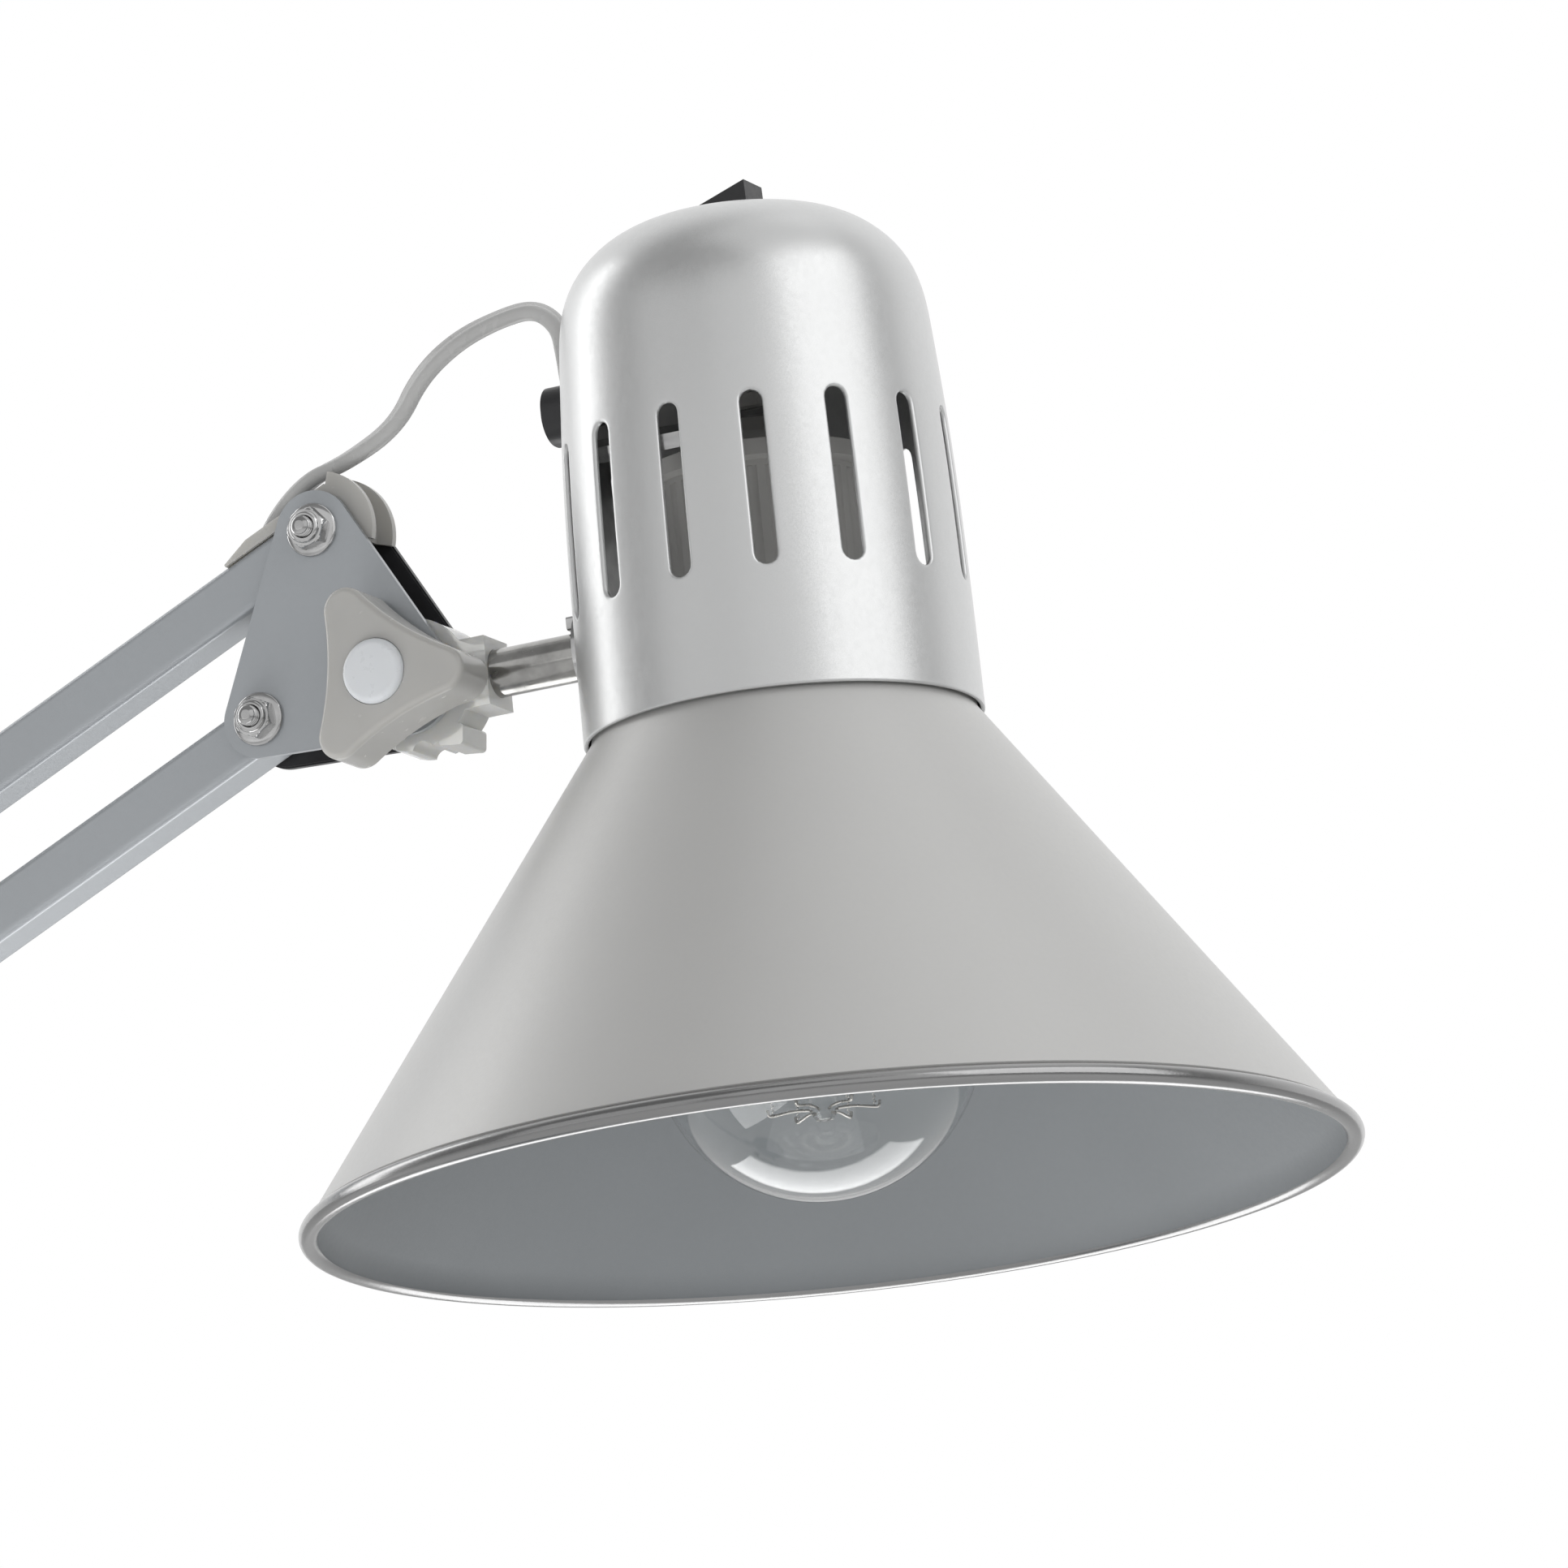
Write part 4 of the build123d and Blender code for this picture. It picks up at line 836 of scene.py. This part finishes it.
wires = []
for side in (-1, 1):
    wires.append(wire("leg", [head_point(side * 1.6, 0, 74), head_point(side * 1.8, 0, 58),
                              head_point(side * 5.0, 0, 51), head_point(side * 9.2, 1.0, 46.6)], 0.35, "bulb_wire"))
HOLDERS = 6
for index in range(HOLDERS):
    heading = 24.5 + 360 * index / HOLDERS
    (x, y), foot = polar(heading, 9.2), polar(heading, 1.6)
    for low, lift in ((True, 16.4), (False, 44.4)):
        if low or index % 2:
            wires.append(wire("hook", [
                head_point(foot[0], foot[1], lift), head_point(x * 0.5, y * 0.5, lift + 0.5),
                head_point(x, y, lift - 0.3), head_point(x * 1.1, y * 1.1, lift - 0.2),
                head_point(x * 1.1, y * 1.1, lift + 0.9)], 0.26, "bulb_wire"))
    rise = []
    for step in range(260):
        share = step / 260
        rise.append(head_point(x + 0.24 * math.cos(step * 0.8), y + 0.24 * math.sin(step * 0.8), 16.2 + 28 * share))
    wires.append(dress(sweep("filament", rise, round_section(0.08, 5), lambda share: (0.9, 0.2, 0.1)), "bulb_wire"))
mount = fuse("bulb_wires", wires)
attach(mount, "head")


# ---------------------------------------------------------------- springs
WIRE_R, COIL_R, PITCH = 0.62, 3.85, 1.34
TURN_STEPS, HOOK_STEPS = 14, 20


def helix(hook, grip, lead_in, lead_out, side):
    """Line of a tension spring with its two hooks, its start and its direction."""
    start, stop = hook + ACROSS * side * SPRING_Y, grip + ACROSS * side * SPRING_Y
    along = (stop - start).normalized()
    other = along.cross(ACROSS)
    total = (stop - start).length
    points = []
    for step in range(HOOK_STEPS + 1):
        x, z = polar(330 - 300 * step / HOOK_STEPS, 3.25)
        points.append(start + along * x + other * z)
    points.append(start + along * 5.0 + other * 0.6)
    points.append(start + along * (lead_in - 3.0) + other * 0.2)
    coil = total - lead_in - lead_out
    steps = int(coil / PITCH) * TURN_STEPS
    for step in range(steps + 1):
        radius = COIL_R * min(1.0, step / 8, (steps - step) / 8 + 0.02)
        spin = 2 * math.pi * step / TURN_STEPS
        points.append(start + along * (lead_in + coil * step / steps)
                      + other * radius * math.cos(spin) + ACROSS * radius * math.sin(spin))
    points.append(start + along * (total - lead_out + 3.0) + other * 0.2)
    points.append(start + along * (total - 4.2) + other * 0.6)
    for step in range(HOOK_STEPS + 1):
        x, z = polar(210 + 300 * step / HOOK_STEPS, 2.2)
        points.append(stop + along * x + other * z)
    return points, start, along


base_spring = base_b + Vector((15.0, 0, 6.0))
elbow_spring = elbow_c + Vector((-6.0, 0, 15.0))
lower_grip = base_b + low_along * 150.0
upper_grip = elbow_c + up_along * 150.0 - up_across * 2.3
for name, hook, grip, lead_in, bodies, node in (
    ("lower", base_spring, lower_grip, 26.0, ("swivel", "lower_b"), "lower_springs"),
    ("upper", elbow_spring, upper_grip, 34.0, ("elbow", "upper_c"), "upper_springs"),
):
    for side, word in ((-1, "near"), (1, "far")):
        points, start, along = helix(hook, grip, lead_in, 20.0, side)
        piece = sweep(f"{name}_spring_{word}", points, round_section(WIRE_R, 8), lambda share: (0.37, 0.81, 0.45))
        dress(piece, "spring_steel")
        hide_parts(node)
        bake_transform(piece)


# ---------------------------------------------------------------- nuts and bolts
FLANGE_SIDE = [(1.9, 0), (5.0, 0), (5.0, 0.5), (4.86, 0.7), (4.6, 0.78), (3.6, 0.98), (1.9, 1.0)]
HEX_HALF = 3.45


def hex_body(name, to_world, apothem, levels):
    """Hexagon with a turned chamfer: levels are (height, radius left by the lathe)."""
    count = 72
    points = []
    for height, limit in levels:
        for step in range(count):
            angle = 360.0 * step / count
            x, y = polar(angle, min(apothem / math.cos(math.radians(angle % 60 - 30)), limit))
            points.append(to_world(x, y, height))
    return new_mesh(name, points, grid_faces(len(levels), count), 28)


def flange_nut(point, spin):
    """Lock nut with a flange and a round collar, on the near plate."""
    side = place(polar(spin, 1))
    spot = axis_place(Vector((point.x, -PLATE_OUT, point.z)), (0, -1, 0), side)
    return [
        lathe("flange", FLANGE_SIDE, spot, 72),
        hex_body("body", spot, HEX_HALF, [
            (0.8, 9.0), (2.6, 9.0), (2.85, 3.95), (3.1, 3.7), (3.3, 3.45), (3.35, 3.2), (3.35, 2.0)]),
        lathe("collar", [(3.05, 3.2), (3.02, 3.6), (2.85, 3.95), (2.5, 4.15), (2.2, 4.1), (2.05, 3.8), (2.0, 3.2)],
              spot, 48),
    ]


def bolt(point, spin):
    """Bolt from its flanged head on the far plate to the threaded end past the nut."""
    side = place(polar(spin, 1))
    far = axis_place(Vector((point.x, PLATE_OUT, point.z)), (0, 1, 0), side)
    near = axis_place(Vector((point.x, PLATE_OUT, point.z)), (0, -1, 0), side)
    thread = []
    reach = 2 * PLATE_OUT + 3.0
    while reach < 2 * PLATE_OUT + 5.1:
        thread += [(1.92, reach), (1.92, reach + 0.16), (1.66, reach + 0.36), (1.66, reach + 0.44)]
        reach += 0.62
    end = 2 * PLATE_OUT + 5.8
    return [
        lathe("flange", FLANGE_SIDE, far, 72),
        hex_body("head", far, HEX_HALF, [
            (0.8, 9.0), (3.3, 9.0), (3.6, 3.95), (3.85, 3.6), (4.0, 3.3), (4.1, 2.8), (4.15, 0.01)]),
        lathe("shank", [(0, 0), (1.9, 0), *thread, (1.62, end - 0.35), (1.2, end - 0.1), (0.7, end), (0, end)],
              near, 48),
    ]


for name, nodes, points in (
    ("elbow_bolts", ("elbow_fasteners",), (elbow_a, elbow_b, elbow_c, elbow_d)),
    ("base_bolts", ("base_fasteners",), (base_a, base_b)),
    ("head_bolts_all", ("head_bolts", "head_nuts"), (head_c, head_d)),
):
    nuts, shanks = [], []
    for index, point in enumerate(points):
        nuts += flange_nut(point, 17 + 23 * index)
        shanks += bolt(point, 41 * index)
    if len(nodes) == 1:
        groups = ((name, nuts + shanks, nodes[0]),)
    else:
        groups = (("head_bolt_pair", shanks, nodes[0]), ("head_nut_pair", nuts, nodes[1]))
    for label, parts, node in groups:
        for part in parts:
            dress(part, "zinc")
        piece = fuse(label, parts)
        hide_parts(node)
        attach(piece, {"elbow_fasteners": "elbow", "base_fasteners": "swivel"}.get(node, "bracket"))


# ---------------------------------------------------------------- rounded edges of the plain pieces
for node, width in (
    ("head_plate_near", 0.3), ("head_plate_far", 0.3), ("elbow_plate_near", 0.3), ("elbow_plate_far", 0.3),
    ("base_yoke", 0.3), ("tilt_block", 0.5), ("cable_guide", 0.25), ("switch_rocker", 0.4), ("switch_housing", 0.2),
    ("cord_grommet", 1.2), ("tilt_bolt", 0.3), ("rod_nut", 0.3), ("rod_washer", 0.2),
):
    bevel(frame["nodes"][node], width, 3)


# ---------------------------------------------------------------- floor and light
floor_size = 6000.0
floor = new_mesh("floor", [(-floor_size, -floor_size, 0), (floor_size, -floor_size, 0),
                           (floor_size, floor_size, 0), (-floor_size, floor_size, 0)], [(0, 1, 2, 3)])
floor_material, floor_tree, floor_shader = node_tree("floor")
cloud = noise(floor_tree, 3, 3)
pale = ramp(floor_tree, cloud.outputs["Fac"], [(0.3, (0.80, 0.80, 0.80)), (0.7, (0.83, 0.83, 0.83))])
floor_tree.links.new(pale.outputs["Color"], floor_shader.inputs["Base Color"])
floor_shader.inputs["Roughness"].default_value = 0.7
floor.data.materials.append(floor_material)

world = bpy.data.worlds.new("studio")
bpy.context.scene.world = world
world.use_nodes = True
sky = world.node_tree
plain = sky.nodes["Background"]
plain.inputs["Color"].default_value = (1, 1, 1, 1)
flat_back = Vector((back.x, back.y, 0)).normalized()
heading = sky.nodes.new("ShaderNodeTexCoord")
facing = sky.nodes.new("ShaderNodeVectorMath")
facing.operation = "DOT_PRODUCT"
facing.inputs[1].default_value = -flat_back
sky.links.new(heading.outputs["Generated"], facing.inputs[0])
wall = sky.nodes.new("ShaderNodeMapRange")
wall.interpolation_type = "SMOOTHSTEP"
wall.inputs["From Min"].default_value = -0.05
wall.inputs["From Max"].default_value = 0.55
wall.inputs["To Min"].default_value = 0.3
wall.inputs["To Max"].default_value = 1.0
sky.links.new(facing.outputs["Value"], wall.inputs["Value"])
sky.links.new(wall.outputs["Result"], plain.inputs["Strength"])
bright = sky.nodes.new("ShaderNodeBackground")
bright.inputs["Color"].default_value = (1, 1, 1, 1)
bright.inputs["Strength"].default_value = 1.0
ray = sky.nodes.new("ShaderNodeLightPath")
pick = sky.nodes.new("ShaderNodeMixShader")
sky.links.new(ray.outputs["Is Camera Ray"], pick.inputs["Fac"])
sky.links.new(plain.outputs["Background"], pick.inputs[1])
sky.links.new(bright.outputs["Background"], pick.inputs[2])
sky.links.new(pick.outputs["Shader"], sky.nodes["World Output"].inputs["Surface"])


def soft_light(name, direction, distance, width, height, power, diffuse=True, gloss=True):
    """Area light at a distance from the aim, facing it, seen by diffuse and by glossy surfaces as told."""
    lamp = bpy.data.lights.new(name, "AREA")
    lamp.shape = "RECTANGLE"
    lamp.size, lamp.size_y = width, height
    lamp.energy = power
    holder = bpy.data.objects.new(name, lamp)
    bpy.context.scene.collection.objects.link(holder)
    heading = Vector(direction).normalized()
    holder.location = aim * MM + heading * distance
    holder.rotation_mode = "QUATERNION"
    holder.rotation_quaternion = heading.to_track_quat("Z", "Y")
    holder.visible_camera = False
    holder.visible_diffuse = diffuse
    holder.visible_glossy = gloss


soft_light("left_strip", VIEW_RIGHT * -0.9 - flat_back * 0.44 + Vector((0, 0, 0.2)), 1.3, 0.4, 1.5, 3.4)
soft_light("left_box", VIEW_RIGHT * -0.75 + flat_back * 0.66 + Vector((0, 0, 0.17)), 2.0, 1.7, 1.5, 3.6)
soft_light("right_box", VIEW_RIGHT * 0.78 + flat_back * 0.6 + Vector((0, 0, 0.5)), 1.8, 1.7, 1.7, 13)
soft_light("top_box", VIEW_RIGHT * 0.25 + flat_back * 0.25 + Vector((0, 0, 1)), 1.4, 1.4, 1.4, 3.0)
soft_light("front_box", flat_back * 1.0 + VIEW_RIGHT * 0.05 + Vector((0, 0, 0.35)), 2.3, 2.2, 1.8, 6.6)
soft_light("low_box", flat_back * 0.12 + Vector((0, 0, -1)), 0.5, 0.42, 0.36, 0.4, True, False)
soft_light("inner_box", VIEW_RIGHT * -0.6 + flat_back * 0.3 + Vector((0, 0, -0.75)), 0.45, 0.3, 0.2, 0.9, True, False)
soft_light("bulb_box", VIEW_RIGHT * 0.1 + flat_back * -0.6 + Vector((0, 0, -0.8)), 0.5, 0.58, 0.26, 1.1, False, True)

bpy.context.scene.view_settings.view_transform = "Standard"
